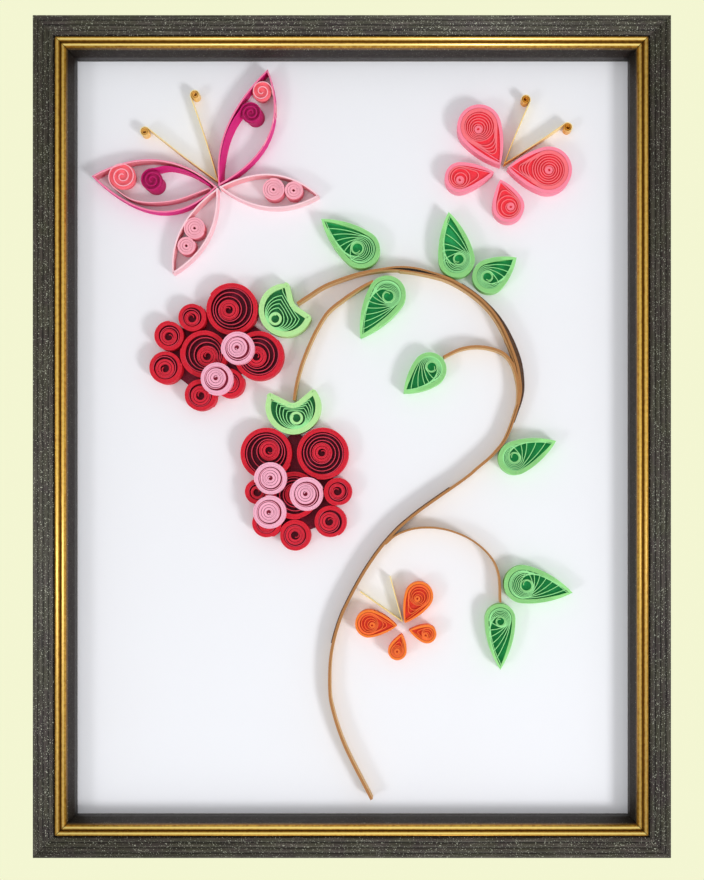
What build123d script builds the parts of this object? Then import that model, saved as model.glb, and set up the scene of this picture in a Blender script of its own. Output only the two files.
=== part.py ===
from build123d import *
from math import acos, atan2, ceil, cos, hypot, pi, radians, sin, sqrt
import os

# A framed picture of quilled paper: two raspberries, a leafy spray and three butterflies.
# The paper strips stand on edge on a white card, in a small moulded wooden frame.
# Sizes are in millimetres. The picture is upright, as it hangs: X runs across it, Z runs up,
# and its face looks along -Y. The origin is the hanger's notch, on the back plane of the rail.
# Places in the picture are (across, up) from the middle of the spray's layout.

# Paper strips
strip_height = 5.0
top_strip_height = 3.0
feeler_height = 4.0
turn_paper = 0.22
turn_gap = 0.14
wing_paper = 0.5
feeler_paper = 0.4
stem_paper = 0.8
twig_paper = 0.7
glue_gap = 0.1
glue_bite = 0.12

# Rims, the tight outer turns of each kind of roll
big_berry_rim = 1.5
small_berry_rim = 1.35
top_berry_rim = 1.3
leaf_rim = 1.3
calyx_rim = 1.3
horn_round = 1.3
coral_rim = 0.9
orange_rim = 0.75

# Middles of the rolls: the tight inner turns and the eye they leave
big_core = 3.1
big_eye = 1.3
small_core_gap = 0.4
small_eye = 1.35
top_core_gap = 0.55
top_eye = 0.75
leaf_belly = 0.6
leaf_eye = 1.6
leaf_eye_wall = 0.45
coral_belly = 0.7
coral_core = 1.5
orange_belly = 0.45
orange_core = 1.15
wing_eye = 0.45
curl_heart = 0.8

# Flats stand for each round: none lies further than this from a rim, or from an inner turn
flat_sag = 0.2
turn_sag = 0.5
sharpest_mitre = 0.25

# Card, backing board and their room in the frame
card_thickness = 1.5
board_thickness = 3.0
card_play = 0.5
margin_left = 5.4
margin_right = 17.6
margin_top = 3.8
margin_bottom = 5.3

# Moulding: four reeds, a groove, two gilt beads and a sloping sight lip
reed_count = 4
reed_width = 1.7
reed_rise = 0.3
reed_climb = 1.6
side_height = 14.2
groove_width = 0.45
groove_depth = 0.8
bead_count = 2
bead_width = 1.78
bead_rise = 0.6
bead_base = 16.2
lip_width = 1.5
lip_top = 15.0
lip_edge = 12.4
rabbet_depth = 8.0
rabbet_width = 4.4

# Corner nails, board tabs and the sawtooth hanger
nail_leg = 4.2
nail_gauge = 0.5
nail_depth = 8.0
nail_recess = 0.4
nail_play = 0.03
tab_width = 6.0
tab_length = 11.0
tab_gauge = 0.6
tab_root = 3.5
tab_play = 0.05
tabs_along_side = 3
tabs_along_end = 2
hanger_length = 42.0
hanger_foot = 8.0
hanger_step = 1.5
hanger_height = 6.4
hanger_gauge = 0.9
hanger_standoff = 1.2
hanger_drop = 6.6
tooth_pitch = 3.2
tooth_depth = 1.2
tooth_count = 5
pin_diameter = 1.4
pin_length = 7.0
pin_head_diameter = 2.8
pin_head_height = 0.6
pin_play = 0.05

# Worked out from the sizes above
turn_step = turn_paper + turn_gap
reed_band = reed_count * reed_width
bead_band = bead_count * bead_width
rail_width = reed_band + groove_width + bead_band + lip_width
card_front = rabbet_depth
board_front = card_front - card_thickness
board_back = board_front - board_thickness
tab_front = board_back - tab_play


def place(x, z):
    """A place in the picture."""
    return (x, z)


def polar(point, distance, angle):
    """The place at a distance from a point, along an angle in radians."""
    return (point[0] + distance * cos(angle), point[1] + distance * sin(angle))


def between(a, b, share):
    """The place a share of the way from a to b."""
    return (a[0] + (b[0] - a[0]) * share, a[1] + (b[1] - a[1]) * share)


def bearing(a, b):
    """Angle of the line from a to b, in radians."""
    return atan2(b[1] - a[1], b[0] - a[0])


def distance(a, b):
    """Length of the line from a to b."""
    return hypot(b[0] - a[0], b[1] - a[1])


def flats(radius, sweep, most_sag):
    """Number of flats that follow a round of this radius over a sweep."""
    sag = min(most_sag, radius / 3)
    return max(2, ceil(sweep / (2 * acos(1 - sag / radius)) - 0.3))


def arc(centre, radius, start, sweep, end_centre=None, end_radius=None, count=None):
    """Points along an arc, which may drift to another centre and radius as it turns."""
    end_centre = end_centre or centre
    end_radius = end_radius or radius
    count = count or flats(radius, abs(sweep), flat_sag)
    shares = [step / count for step in range(count + 1)]
    return [polar(between(centre, end_centre, s), radius + (end_radius - radius) * s, start + sweep * s)
            for s in shares]


def ring(centre, radius, start=0.0):
    """Closed outline of a round."""
    return arc(centre, radius, start, 2 * pi)[:-1]


def offset_points(points, reach, closed):
    """Points moved sideways by reach, to the left of the way they run, with mitred corners."""
    moved = []
    last = len(points) - 1
    for index, here in enumerate(points):
        before = points[index - 1] if index or closed else here
        after = points[(index + 1) % len(points)] if index < last or closed else here
        into = bearing(before, here) if before != here else bearing(here, after)
        out = bearing(here, after) if after != here else into
        turn = (out - into + pi) % (2 * pi) - pi
        mitre = reach / max(cos(turn / 2), sharpest_mitre)
        moved.append(polar(here, mitre, into + turn / 2 + pi / 2))
    return moved


def band(path, paper):
    """Closed outline of a strip seen on edge, with its middle on the path."""
    return offset_points(path, paper / 2, False) + offset_points(path, -paper / 2, False)[::-1]


def strip(path, paper):
    """Outlines of a strip whose ends may lie on each other, in two halves that share one flat."""
    half = len(path) // 2
    return [(band(path[:half + 1], paper), Mode.ADD), (band(path[half - 1:], paper), Mode.ADD)]


def inset(outline, reach):
    """A closed outline that runs anticlockwise, drawn in by reach."""
    return offset_points(outline, reach, True)


def smooth(points, spacing):
    """Points along a smooth curve through hand-placed ones, about a spacing apart."""
    route = Spline(*points, mode=Mode.PRIVATE)
    count = max(2, round(route.length / spacing))
    return [(p.X, p.Y) for p in (route @ (step / count) for step in range(count + 1))]


class Disc:
    """A round roll seen from the front."""

    def __init__(self, centre, radius):
        self.centre = centre
        self.radius = radius

    def edge(self, angle, clear=0.0):
        """The place on its edge, or clear of it, along an angle in degrees."""
        return polar(self.centre, self.radius + clear, radians(angle))


def beside(disc, angle, radius, gap=glue_gap):
    """The roll that touches another, along an angle in degrees."""
    return Disc(disc.edge(angle, gap + radius), radius)


def nest(first, second, radius):
    """The roll that touches two others, on the left of the way from the first to the second."""
    span = distance(first.centre, second.centre)
    reach = first.radius + radius + glue_gap
    other = second.radius + radius + glue_gap
    along = (reach ** 2 - other ** 2 + span ** 2) / (2 * span)
    aside = sqrt(max(reach ** 2 - along ** 2, 0.0))
    way = bearing(first.centre, second.centre)
    return Disc(polar(polar(first.centre, along, way), aside, way + pi / 2), radius)


def finish(piece, label):
    """Label a finished piece and write it."""
    piece.label = label
    export_step(piece, f"parts/{label}.step")


def stand(label, height, shapes, lift=0.0):
    """Stand paper on the card: each shape is an outline and how it joins or cuts the others."""
    with BuildPart() as roll:
        with BuildSketch(picture_plane.offset(lift)):
            for outline, mode in shapes:
                Polygon(*outline, mode=mode)
        extrude(amount=height)
    finish(roll.part, label)


def loose_roll(label, disc, rim, turn_angle, sense):
    """A big berry roll: a tight rim, two loose turns and a tight core round its eye."""
    hole = disc.radius - rim
    start = radians(turn_angle)
    turns = arc(disc.centre, hole + glue_bite, start, sense * 4 * pi, disc.centre, big_core - glue_bite,
                flats(hole, 4 * pi, turn_sag))
    stand(label, strip_height, [
        (ring(disc.centre, disc.radius), Mode.ADD),
        (ring(disc.centre, hole), Mode.SUBTRACT),
        (band(turns, turn_paper), Mode.ADD),
        (ring(disc.centre, big_core), Mode.ADD),
        (ring(disc.centre, big_eye), Mode.SUBTRACT)])


def snug_roll(label, disc, rim, core_gap, eye, lean, height=strip_height, lift=0.0):
    """A small roll, whose core leans on its rim along an angle in degrees."""
    hole = disc.radius - rim
    core = hole - core_gap
    start = radians(lean)
    middle = polar(disc.centre, core_gap + glue_bite, start)
    stand(label, height, [
        (ring(disc.centre, disc.radius, start), Mode.ADD),
        (ring(disc.centre, hole, start), Mode.SUBTRACT),
        (ring(middle, core, start), Mode.ADD),
        (ring(middle, eye), Mode.SUBTRACT)], lift)


def drop(tip, bulb, belly):
    """Closed outline of a roll pinched to one tip, whose sides swell by the belly."""
    span = distance(bulb.centre, tip)
    way = bearing(bulb.centre, tip)
    open_angle = acos(bulb.radius / span)
    left = polar(bulb.centre, bulb.radius, way + open_angle)
    right = polar(bulb.centre, bulb.radius, way - open_angle)
    left_swell = polar(between(tip, left, 0.5), belly, way + open_angle)
    right_swell = polar(between(tip, right, 0.5), belly, way - open_angle)
    head = arc(bulb.centre, bulb.radius, way + open_angle, 2 * pi - 2 * open_angle)
    return [tip, left_swell] + head[1:-1] + [right_swell]


def drop_turns(tip, bulb, core, loops, side, reach):
    """Middle lines of the loose turns in a pinched roll.

    Each turn leaves its own tip, goes round the bulb and ends on the next tip. The tips slide
    along one side, and the turns crowd where the core lies nearest to the rim.
    """
    span = distance(bulb.centre, tip)
    way = bearing(bulb.centre, tip)
    side_way = way + side * acos(bulb.radius / span)
    shoulder = polar(bulb.centre, bulb.radius, side_way)
    tips, rounds = [], []
    for turn in range(loops + 1):
        share = turn / loops
        slid = between(tip, shoulder, share * reach)
        tips.append(polar(slid, -turn * turn_step, side_way))
        radius = bulb.radius + (core.radius - glue_bite - bulb.radius) * share
        rounds.append(Disc(between(bulb.centre, core.centre, share), radius))
    turns = []
    for start, end, here, after in zip(tips, tips[1:], rounds, rounds[1:]):
        leave = tangent_angle(start, here, side)
        arrive = tangent_angle(end, after, -side)
        sweep = side * ((side * (arrive - leave)) % (2 * pi))
        count = flats(bulb.radius, abs(sweep), turn_sag)
        around = arc(here.centre, here.radius, leave, sweep, after.centre, after.radius, count)
        turns.append([start] + around + [end])
    return turns


def tangent_angle(point, disc, side):
    """Angle on a disc where a line from an outer point touches it, on the given side."""
    span = max(distance(disc.centre, point), disc.radius)
    return bearing(disc.centre, point) + side * acos(disc.radius / span)


def pinched_roll(label, tip, bulb, eye, rim, belly, core_radius, eye_radius, loops, side, reach):
    """A leaf or a wing: a drop-shaped rim, turns that fan from one side and a core round its eye."""
    room = bulb.radius - rim - turn_step
    inner_bulb = Disc(bulb.centre, room)
    inner_tip = between(bulb.centre, tip, room / bulb.radius)
    crowd = max(room - core_radius - loops * turn_step, 0.0)
    shift = min(distance(bulb.centre, eye), crowd)
    core = Disc(polar(bulb.centre, shift, bearing(bulb.centre, eye)), core_radius)
    turns = drop_turns(inner_tip, inner_bulb, core, loops, side, reach)
    turns[0][0] = between(bulb.centre, tip, 0.9)
    outline = drop(tip, bulb, belly)
    stand(label, strip_height, [
        (outline, Mode.ADD),
        (inset(outline, rim), Mode.SUBTRACT),
        *[half for turn in turns for half in strip(turn, turn_paper)],
        (ring(core.centre, core.radius), Mode.ADD),
        (ring(core.centre, eye_radius), Mode.SUBTRACT)])


def round_through(a, b, c):
    """The disc whose edge passes through three points."""
    ax, az, bx, bz, cx, cz = *a, *b, *c
    scale = 2 * (ax * (bz - cz) + bx * (cz - az) + cx * (az - bz))
    a2, b2, c2 = ax ** 2 + az ** 2, bx ** 2 + bz ** 2, cx ** 2 + cz ** 2
    x = (a2 * (bz - cz) + b2 * (cz - az) + c2 * (az - bz)) / scale
    z = (a2 * (cx - bx) + b2 * (ax - cx) + c2 * (bx - ax)) / scale
    return Disc((x, z), distance((x, z), a))


def horn_curve(ball, horn, turns):
    """Points round the blunt end of a horn, whose angle and reach are from the ball's middle."""
    angle, reach = horn
    middle = polar(ball.centre, reach - horn_round, radians(angle))
    return [polar(middle, horn_round, radians(angle + turn)) for turn in turns]


def notch_curve(left, notch, right, steps=4, sharpness=1.6):
    """Points from the left horn down into the notch and up to the right horn."""
    chord = between(left, right, 0.5)
    curve = []
    for step in range(steps + 1):
        share = step / steps
        dip = 1 - abs(2 * share - 1) ** sharpness
        on_chord = between(left, right, share)
        curve.append((on_chord[0] + (notch[0] - chord[0]) * dip,
                      on_chord[1] + (notch[1] - chord[1]) * dip))
    return curve


def base_curve(right, base, left, sag):
    """Points from the right horn round the base to the left horn, clockwise."""
    circle = round_through(right, base, left)
    start = bearing(circle.centre, right)
    sweep = (start - bearing(circle.centre, left)) % (2 * pi)
    return arc(circle.centre, circle.radius, start, -sweep, count=flats(circle.radius, sweep, sag))


def calyx_roll(label, ball, left_horn, right_horn, notch_depth, eye, loops=2):
    """A roll pinched to two blunt horns with a notch between, as the cap of a berry."""
    up = radians((left_horn[0] + right_horn[0]) / 2)
    left = polar(ball.centre, left_horn[1], radians(left_horn[0]))
    right = polar(ball.centre, right_horn[1], radians(right_horn[0]))
    notch = polar(ball.centre, ball.radius - notch_depth, up)
    base = polar(ball.centre, -ball.radius, up)
    core = Disc(eye, leaf_eye + leaf_eye_wall)

    def anchor(corner, rim_reach, share):
        """A corner of a turn: inside the rim at first, and on the core at the end."""
        way = bearing(eye, corner)
        outer = distance(eye, corner) - rim_reach
        return polar(eye, outer + (core.radius - glue_bite - outer) * share, way)

    horn_reach = 2.3 * calyx_rim
    hole = (notch_curve(anchor(left, horn_reach, 0), anchor(notch, calyx_rim, 0),
                        anchor(right, horn_reach, 0))
            + base_curve(anchor(right, horn_reach, 0), anchor(base, calyx_rim, 0),
                         anchor(left, horn_reach, 0), flat_sag)[1:-1])
    turns = []
    rim_in = calyx_rim + turn_step / 2
    for turn in range(loops):
        first = (turn + 0.35) / (loops + 0.35)
        later = (turn + 1.35) / (loops + 0.35)
        halfway = (first + later) / 2
        far = anchor(right, horn_reach, halfway)
        turns.append(
            notch_curve(anchor(left, horn_reach, first), anchor(notch, rim_in, first), far)
            + base_curve(far, anchor(base, rim_in, halfway), anchor(left, horn_reach, later),
                         turn_sag)[1:])
    turns[0].insert(0, anchor(left, horn_reach * 0.8, 0))
    left_end = horn_curve(ball, left_horn, (65, 5, -55))
    right_end = horn_curve(ball, right_horn, (55, -5, -65))
    valley = [between(notch, left_end[-1], 0.12), between(notch, right_end[0], 0.12)]
    outline = (left_end + valley + right_end
               + base_curve(right_end[-1], base, left_end[0], flat_sag)[1:-1])
    stand(label, strip_height, [
        (outline, Mode.ADD),
        (hole, Mode.SUBTRACT),
        *[half for turn in turns for half in strip(turn, turn_paper)],
        (ring(core.centre, core.radius), Mode.ADD),
        (ring(core.centre, leaf_eye), Mode.SUBTRACT)])


class Wing:
    """A loop of paper strip from a root to a pinched tip, with a bulge on each side."""

    def __init__(self, root, tip, left_bulge, left_at, right_bulge, right_at):
        self.root = root
        self.tip = tip
        self.bulges = {1: (left_bulge, left_at), -1: (right_bulge, right_at)}

    def point(self, side, share):
        """The place on one side, a share of the way from the root to the tip."""
        bulge, at = self.bulges[side]
        way = bearing(self.root, self.tip)
        knee = polar(between(self.root, self.tip, at), 2 * bulge, way + side * pi / 2)
        return between(between(self.root, knee, share), between(knee, self.tip, share), share)

    def side(self, side, start=0.0, end=1.0, steps=7):
        """Points along a stretch of one side."""
        return [self.point(side, start + (end - start) * step / steps) for step in range(steps + 1)]

    def against(self, side, share, radius):
        """The curl that leans on the inside of one side."""
        here = self.point(side, share)
        way = bearing(self.point(side, share - 0.02), self.point(side, share + 0.02))
        reach = radius + wing_paper - glue_bite - flat_sag
        return Disc(polar(here, reach, way - side * pi / 2), radius)


def wound(tail, middle, radius, start, sense, turns=1.9):
    """Outlines of a strip that runs along a tail and winds up into an open curl."""
    sweep = turns * 2 * pi
    spiral = arc(middle, radius, radians(start), sense * sweep, middle, curl_heart,
                 flats(radius, sweep, turn_sag))
    return strip(tail + spiral, wing_paper)


def tight_curl(disc):
    """Outlines of a tight curl with a pinhole in its middle."""
    return [(ring(disc.centre, disc.radius), Mode.ADD), (ring(disc.centre, wing_eye), Mode.SUBTRACT)]


def open_wing(label, wing, curls):
    """A butterfly's open wing: its loop of strip and the curls inside it."""
    outline = wing.side(-1) + wing.side(1)[-2:0:-1]
    stand(label, strip_height, [(outline, Mode.ADD), (inset(outline, wing_paper), Mode.SUBTRACT)] + curls)


def feelers(label, fork, ends, curl_radius):
    """A butterfly's feelers: one strip folded at the fork, with a curl at each end."""
    path = []
    for end, sense in zip(ends, (1, -1)):
        arm = [fork, end]
        if curl_radius:
            wound_radius = curl_radius - feeler_paper / 2
            start = bearing(fork, end) - sense * pi / 2
            arm = [fork] + arc(end, wound_radius, start, sense * 2.6 * pi, end, wound_radius * 0.35)
        path = arm[::-1] + path[1:] if path else arm
    stand(label, feeler_height, strip(path, feeler_paper))


os.makedirs("parts", exist_ok=True)

# Raspberry one, under the end of the main stem: each roll is placed by the ones it touches
crown_one = Disc(place(-37.5, 39.4), 8.05)
west_one = beside(crown_one, -122.0, 7.35, gap=0.8)
east_one = beside(crown_one, -60.0, 7.7, gap=0.7)
shoulder_one = nest(west_one, crown_one, 4.35)
flank_one = nest(west_one, shoulder_one, 4.6)
hip_one = nest(west_one, flank_one, 5.1)
foot_one = beside(west_one, -95.0, 4.95, gap=0.5)
heel_one = nest(east_one, foot_one, 4.6)
top_one_a = Disc(place(-35.3, 27.0), 5.15)
top_one_b = beside(top_one_a, -125.0, 5.05, gap=1.1)
calyx_one = nest(crown_one, east_one, 8.3)

# Raspberry two, under the lower branch
west_two = Disc(place(-26.9, -5.0), 8.05)
east_two = beside(west_two, 0.0, 8.05, gap=1.2)
middle_two = nest(east_two, west_two, 7.4)
shoulder_two = beside(east_two, -68.0, 4.4, gap=0.3)
flank_two = beside(shoulder_two, -104.5, 5.0)
foot_two = beside(middle_two, -89.0, 4.85)
heel_two = nest(foot_two, middle_two, 4.6)
hip_two = nest(middle_two, west_two, 3.95)
top_two_a = Disc(place(-25.3, -12.8), 5.05)
top_two_b = beside(top_two_a, -23.5, 5.25, gap=1.7)
top_two_c = beside(top_two_a, -92.0, 5.15)
calyx_two = nest(west_two, east_two, 8.42)

# Butterfly one: open wings that meet at one place
meeting = place(-41.7, 77.0)
wing_root = 0.9
upper_wing = Wing(polar(meeting, wing_root, radians(67)), place(-26.4, 113.3), 4.8, 0.42, 8.5, 0.54)
left_wing = Wing(polar(meeting, wing_root, radians(175)), place(-80.7, 80.3), 9.4, 0.40, 6.8, 0.48)
right_wing = Wing(polar(meeting, wing_root, radians(-5)), place(-10.5, 74.3), 5.4, 0.54, 5.15, 0.52)
lower_wing = Wing(polar(meeting, wing_root, radians(-118)), place(-55.8, 50.2), 4.55, 0.50, 4.25, 0.57)

# The frame's opening follows the spray: its outermost points and the margins of bare card
stem_foot = place(5.5, -111.6)
east_leaf_tip = place(67.5, -48.0)
sight_left = left_wing.tip[0] - margin_left
sight_right = east_leaf_tip[0] + margin_right
sight_bottom = stem_foot[1] - margin_bottom
sight_top = upper_wing.tip[1] + margin_top
sight_width = sight_right - sight_left
sight_height = sight_top - sight_bottom
outer_width = sight_width + 2 * rail_width
outer_height = sight_height + 2 * rail_width
middle_x = (sight_left + sight_right) / 2
middle_z = (sight_bottom + sight_top) / 2
frame_middle = hanger_drop - outer_height / 2
picture_plane = Plane(origin=(-middle_x, -card_front, frame_middle - middle_z), x_dir=(1, 0, 0),
                      z_dir=(0, -1, 0))
back_plane = Plane(origin=(0, 0, frame_middle), x_dir=(1, 0, 0), z_dir=(0, -1, 0))

# Corner nails: a vee of steel across each mitre, pressed in from the back
nail_middle = (rail_width - rabbet_width) / 2
nail_shapes = []
for across, up in ((1, 1), (-1, 1), (-1, -1), (1, -1)):
    corner = (across * outer_width / 2, up * outer_height / 2)
    inward = bearing(corner, (corner[0] - across, corner[1] - up))
    vee = polar(corner, nail_middle * sqrt(2), inward)
    nail_shapes.append([polar(vee, nail_leg, inward + radians(50)), vee,
                        polar(vee, nail_leg, inward - radians(50))])

with BuildPart() as corner_nails:
    with BuildSketch(back_plane.offset(nail_recess)):
        for vee in nail_shapes:
            Polygon(*band(vee, nail_gauge))
    extrude(amount=nail_depth)
finish(corner_nails.part, "corner_nails")

# Board tabs: flat points pushed into the rabbet wall behind the board
board_half = (sight_width / 2 + rabbet_width, sight_height / 2 + rabbet_width)
tab_places = []
for sign in (1, -1):
    for step in range(tabs_along_side):
        spot = (step + 1) / (tabs_along_side + 1) - 0.5
        tab_places.append((sign * board_half[0], spot * sight_height, 0))
    for step in range(tabs_along_end):
        spot = (step + 1) / (tabs_along_end + 1) - 0.5
        tab_places.append((spot * sight_width, sign * board_half[1], 90))


def tab_sketch(play):
    """Lay each tab flat across the rabbet wall, with play round it."""
    for x, z, turn in tab_places:
        inward = tab_root - tab_length / 2
        shift = (-1 if x < 0 else 1) * inward if turn == 0 else (-1 if z < 0 else 1) * inward
        at = (x + shift, z) if turn == 0 else (x, z + shift)
        with Locations(at):
            Rectangle(tab_length + 2 * play, tab_width + 2 * play, rotation=turn)


with BuildPart() as board_tabs:
    with BuildSketch(back_plane.offset(tab_front - tab_gauge)):
        tab_sketch(0.0)
    extrude(amount=tab_gauge)
    chamfer(board_tabs.edges().filter_by(Axis.Y), length=tab_width / 4)
finish(board_tabs.part, "board_tabs")

# Hanger: a bent strip with teeth along its lower edge, and a pin through each foot
bend_out = hanger_length / 2 - hanger_foot
bend_in = bend_out - hanger_step
hanger_line = [(-hanger_length / 2, 0), (-bend_out, 0), (-bend_in, hanger_standoff),
               (bend_in, hanger_standoff), (bend_out, 0), (hanger_length / 2, 0)]
pin_spots = [(side * (hanger_length - hanger_foot) / 2, hanger_height / 2 - tooth_depth)
             for side in (1, -1)]
hanger_back = Plane(origin=(0, 0, 0), x_dir=(-1, 0, 0), z_dir=(0, 1, 0))

with BuildPart() as hanger:
    with BuildSketch(Plane.XY.offset(-tooth_depth)):
        Polygon(*offset_points(hanger_line, hanger_gauge, False), *hanger_line[::-1])
    extrude(amount=hanger_height)
    with BuildSketch(hanger_back):
        for step in range(tooth_count):
            across = (step - (tooth_count - 1) / 2) * tooth_pitch
            with Locations((across, 0)):
                Polygon((-tooth_pitch / 2, -2 * tooth_depth), (tooth_pitch / 2, -2 * tooth_depth),
                        (tooth_pitch / 2, -tooth_depth), (0, 0), (-tooth_pitch / 2, -tooth_depth))
    extrude(amount=hanger_standoff + 2 * hanger_gauge, mode=Mode.SUBTRACT)
    with BuildSketch(hanger_back):
        with Locations(*pin_spots):
            Circle(pin_diameter / 2 + pin_play)
    extrude(amount=hanger_standoff + 2 * hanger_gauge, mode=Mode.SUBTRACT)
finish(hanger.part, "sawtooth_hanger")

with BuildPart() as hanger_pins:
    with BuildSketch(hanger_back.offset(hanger_gauge)):
        with Locations(*pin_spots):
            Circle(pin_diameter / 2)
    extrude(amount=-(pin_length + hanger_gauge))
    with BuildSketch(hanger_back.offset(hanger_gauge)):
        with Locations(*pin_spots):
            Circle(pin_head_diameter / 2)
    extrude(amount=pin_head_height)
finish(hanger_pins.part, "hanger_pins")


def rail(label, middle, inward, length, cuts):
    """One mitred length of moulding, its outer edge's middle and the way in to the picture."""
    inward = Vector(*inward)
    along = inward.cross(Vector(0, 1, 0))
    section = Plane(origin=middle, x_dir=inward, z_dir=inward.cross(Vector(0, -1, 0)))
    reed_edge = [(step * reed_width, side_height + reed_climb * step / reed_count)
                 for step in range(reed_count + 1)]
    bead_start = reed_band + groove_width
    groove_floor = side_height + reed_climb - groove_depth
    bead_edge = [(bead_start + step * bead_width, bead_base) for step in range(bead_count + 1)]
    with BuildPart() as moulding:
        with BuildSketch(section):
            with BuildLine():
                Line((0, 0), reed_edge[0])
                for left, right in zip(reed_edge, reed_edge[1:]):
                    ThreePointArc(left, polar(between(left, right, 0.5), reed_rise, pi / 2), right)
                Polyline(reed_edge[-1], (reed_band, groove_floor), (bead_start, groove_floor),
                         bead_edge[0])
                for left, right in zip(bead_edge, bead_edge[1:]):
                    ThreePointArc(left, polar(between(left, right, 0.5), bead_rise, pi / 2), right)
                Polyline(bead_edge[-1], (rail_width - lip_width, lip_top), (rail_width, lip_edge),
                         (rail_width, rabbet_depth), (rail_width - rabbet_width, rabbet_depth),
                         (rail_width - rabbet_width, 0), (0, 0))
            make_face()
        extrude(amount=length / 2, both=True)
        for end in (1, -1):
            mitre = Plane(origin=Vector(*middle) + along * end * length / 2, z_dir=along * end + inward)
            split(bisect_by=mitre, keep=Keep.BOTTOM)
        with BuildSketch(back_plane):
            for vee in nail_shapes:
                Polygon(*band(vee, nail_gauge + 2 * nail_play))
        extrude(amount=nail_depth + nail_recess + nail_play, mode=Mode.SUBTRACT)
        with BuildSketch(back_plane.offset(tab_front - tab_gauge - tab_play)):
            tab_sketch(tab_play)
        extrude(amount=tab_gauge + 2 * tab_play, mode=Mode.SUBTRACT)
        if cuts:
            with BuildSketch(hanger_back):
                with Locations(*pin_spots):
                    Circle(pin_diameter / 2 + pin_play)
            extrude(amount=-(pin_length + pin_play), mode=Mode.SUBTRACT)
    finish(moulding.part, label)


rail("top_rail", (0, 0, frame_middle + outer_height / 2), (0, 0, -1), outer_width, True)
rail("bottom_rail", (0, 0, frame_middle - outer_height / 2), (0, 0, 1), outer_width, False)
rail("left_rail", (-outer_width / 2, 0, frame_middle), (1, 0, 0), outer_height, False)
rail("right_rail", (outer_width / 2, 0, frame_middle), (-1, 0, 0), outer_height, False)

# Card and backing board, loose in the rabbet by the play
sheet_width = sight_width + 2 * (rabbet_width - card_play)
sheet_height = sight_height + 2 * (rabbet_width - card_play)

with BuildPart() as picture_card:
    with BuildSketch(back_plane.offset(board_front)):
        Rectangle(sheet_width, sheet_height)
    extrude(amount=card_thickness)
finish(picture_card.part, "picture_card")

with BuildPart() as backing_board:
    with BuildSketch(back_plane.offset(board_back)):
        Rectangle(sheet_width, sheet_height)
    extrude(amount=board_thickness)
finish(backing_board.part, "backing_board")

# Raspberry rolls
big_rolls = {
    "berry_one_crown": (crown_one, 40, 1), "berry_one_west": (west_one, 200, -1),
    "berry_one_east": (east_one, -30, 1), "berry_two_west": (west_two, 230, 1),
    "berry_two_east": (east_two, 110, -1), "berry_two_middle": (middle_two, 250, 1)}
for label, (disc, turn_angle, sense) in big_rolls.items():
    loose_roll(label, disc, big_berry_rim, turn_angle, sense)

small_rolls = {
    "berry_one_shoulder": (shoulder_one, -90), "berry_one_flank": (flank_one, -95),
    "berry_one_hip": (hip_one, -110), "berry_one_foot": (foot_one, -60),
    "berry_one_heel": (heel_one, -90), "berry_two_shoulder": (shoulder_two, 180),
    "berry_two_flank": (flank_two, 0), "berry_two_foot": (foot_two, 200),
    "berry_two_heel": (heel_two, -100), "berry_two_hip": (hip_two, -80)}
for label, (disc, lean) in small_rolls.items():
    snug_roll(label, disc, small_berry_rim, small_core_gap, small_eye, lean)

top_rolls = {
    "berry_one_top_a": (top_one_a, 180), "berry_one_top_b": (top_one_b, 165),
    "berry_two_top_a": (top_two_a, 115), "berry_two_top_b": (top_two_b, 180),
    "berry_two_top_c": (top_two_c, 190)}
for label, (disc, lean) in top_rolls.items():
    snug_roll(label, disc, top_berry_rim, top_core_gap, top_eye, lean, top_strip_height, strip_height)

# Calyxes: the cap over each raspberry
calyx_roll("calyx_one", calyx_one, (89, 8.6), (-19, 8.4), 5.0, place(-24.2, 36.4))
calyx_roll("calyx_two", calyx_two, (156, 9.25), (38, 8.5), 7.4, place(-17.6, 5.8))

# Leaves: tip, bulb, eye and the side that the tips of the turns slide along
leaves = {
    "leaf_north": (place(-10.1, 67.3), Disc(place(2.3, 57.9), 6.0), place(1.1, 58.1), 1),
    "leaf_crest": (place(29.3, 69.5), Disc(place(31.8, 54.7), 5.7), place(32.4, 54.8), 1),
    "leaf_bend": (place(50.2, 55.4), Disc(place(41.8, 49.6), 5.4), place(41.2, 49.3), -1),
    "leaf_under": (place(2.0, 30.5), Disc(place(10.3, 43.9), 5.95), place(10.7, 43.3), -1),
    "leaf_middle": (place(15.2, 13.6), Disc(place(23.3, 20.9), 5.4), place(24.0, 21.6), 1),
    "leaf_east": (place(62.5, -1.2), Disc(place(49.8, -6.5), 5.4), place(49.5, -6.3), 1),
    "leaf_tip": (east_leaf_tip, Disc(place(52.1, -45.4), 6.0), place(53.6, -45.8), 1),
    "leaf_foot": (place(45.2, -71.8), Disc(place(45.2, -56.0), 4.8), place(45.2, -57.0), -1)}
for label, (tip, bulb, eye, side) in leaves.items():
    pinched_roll(label, tip, bulb, eye, leaf_rim, leaf_belly, leaf_eye + leaf_eye_wall, leaf_eye, 2,
                 side, 0.7)

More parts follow.
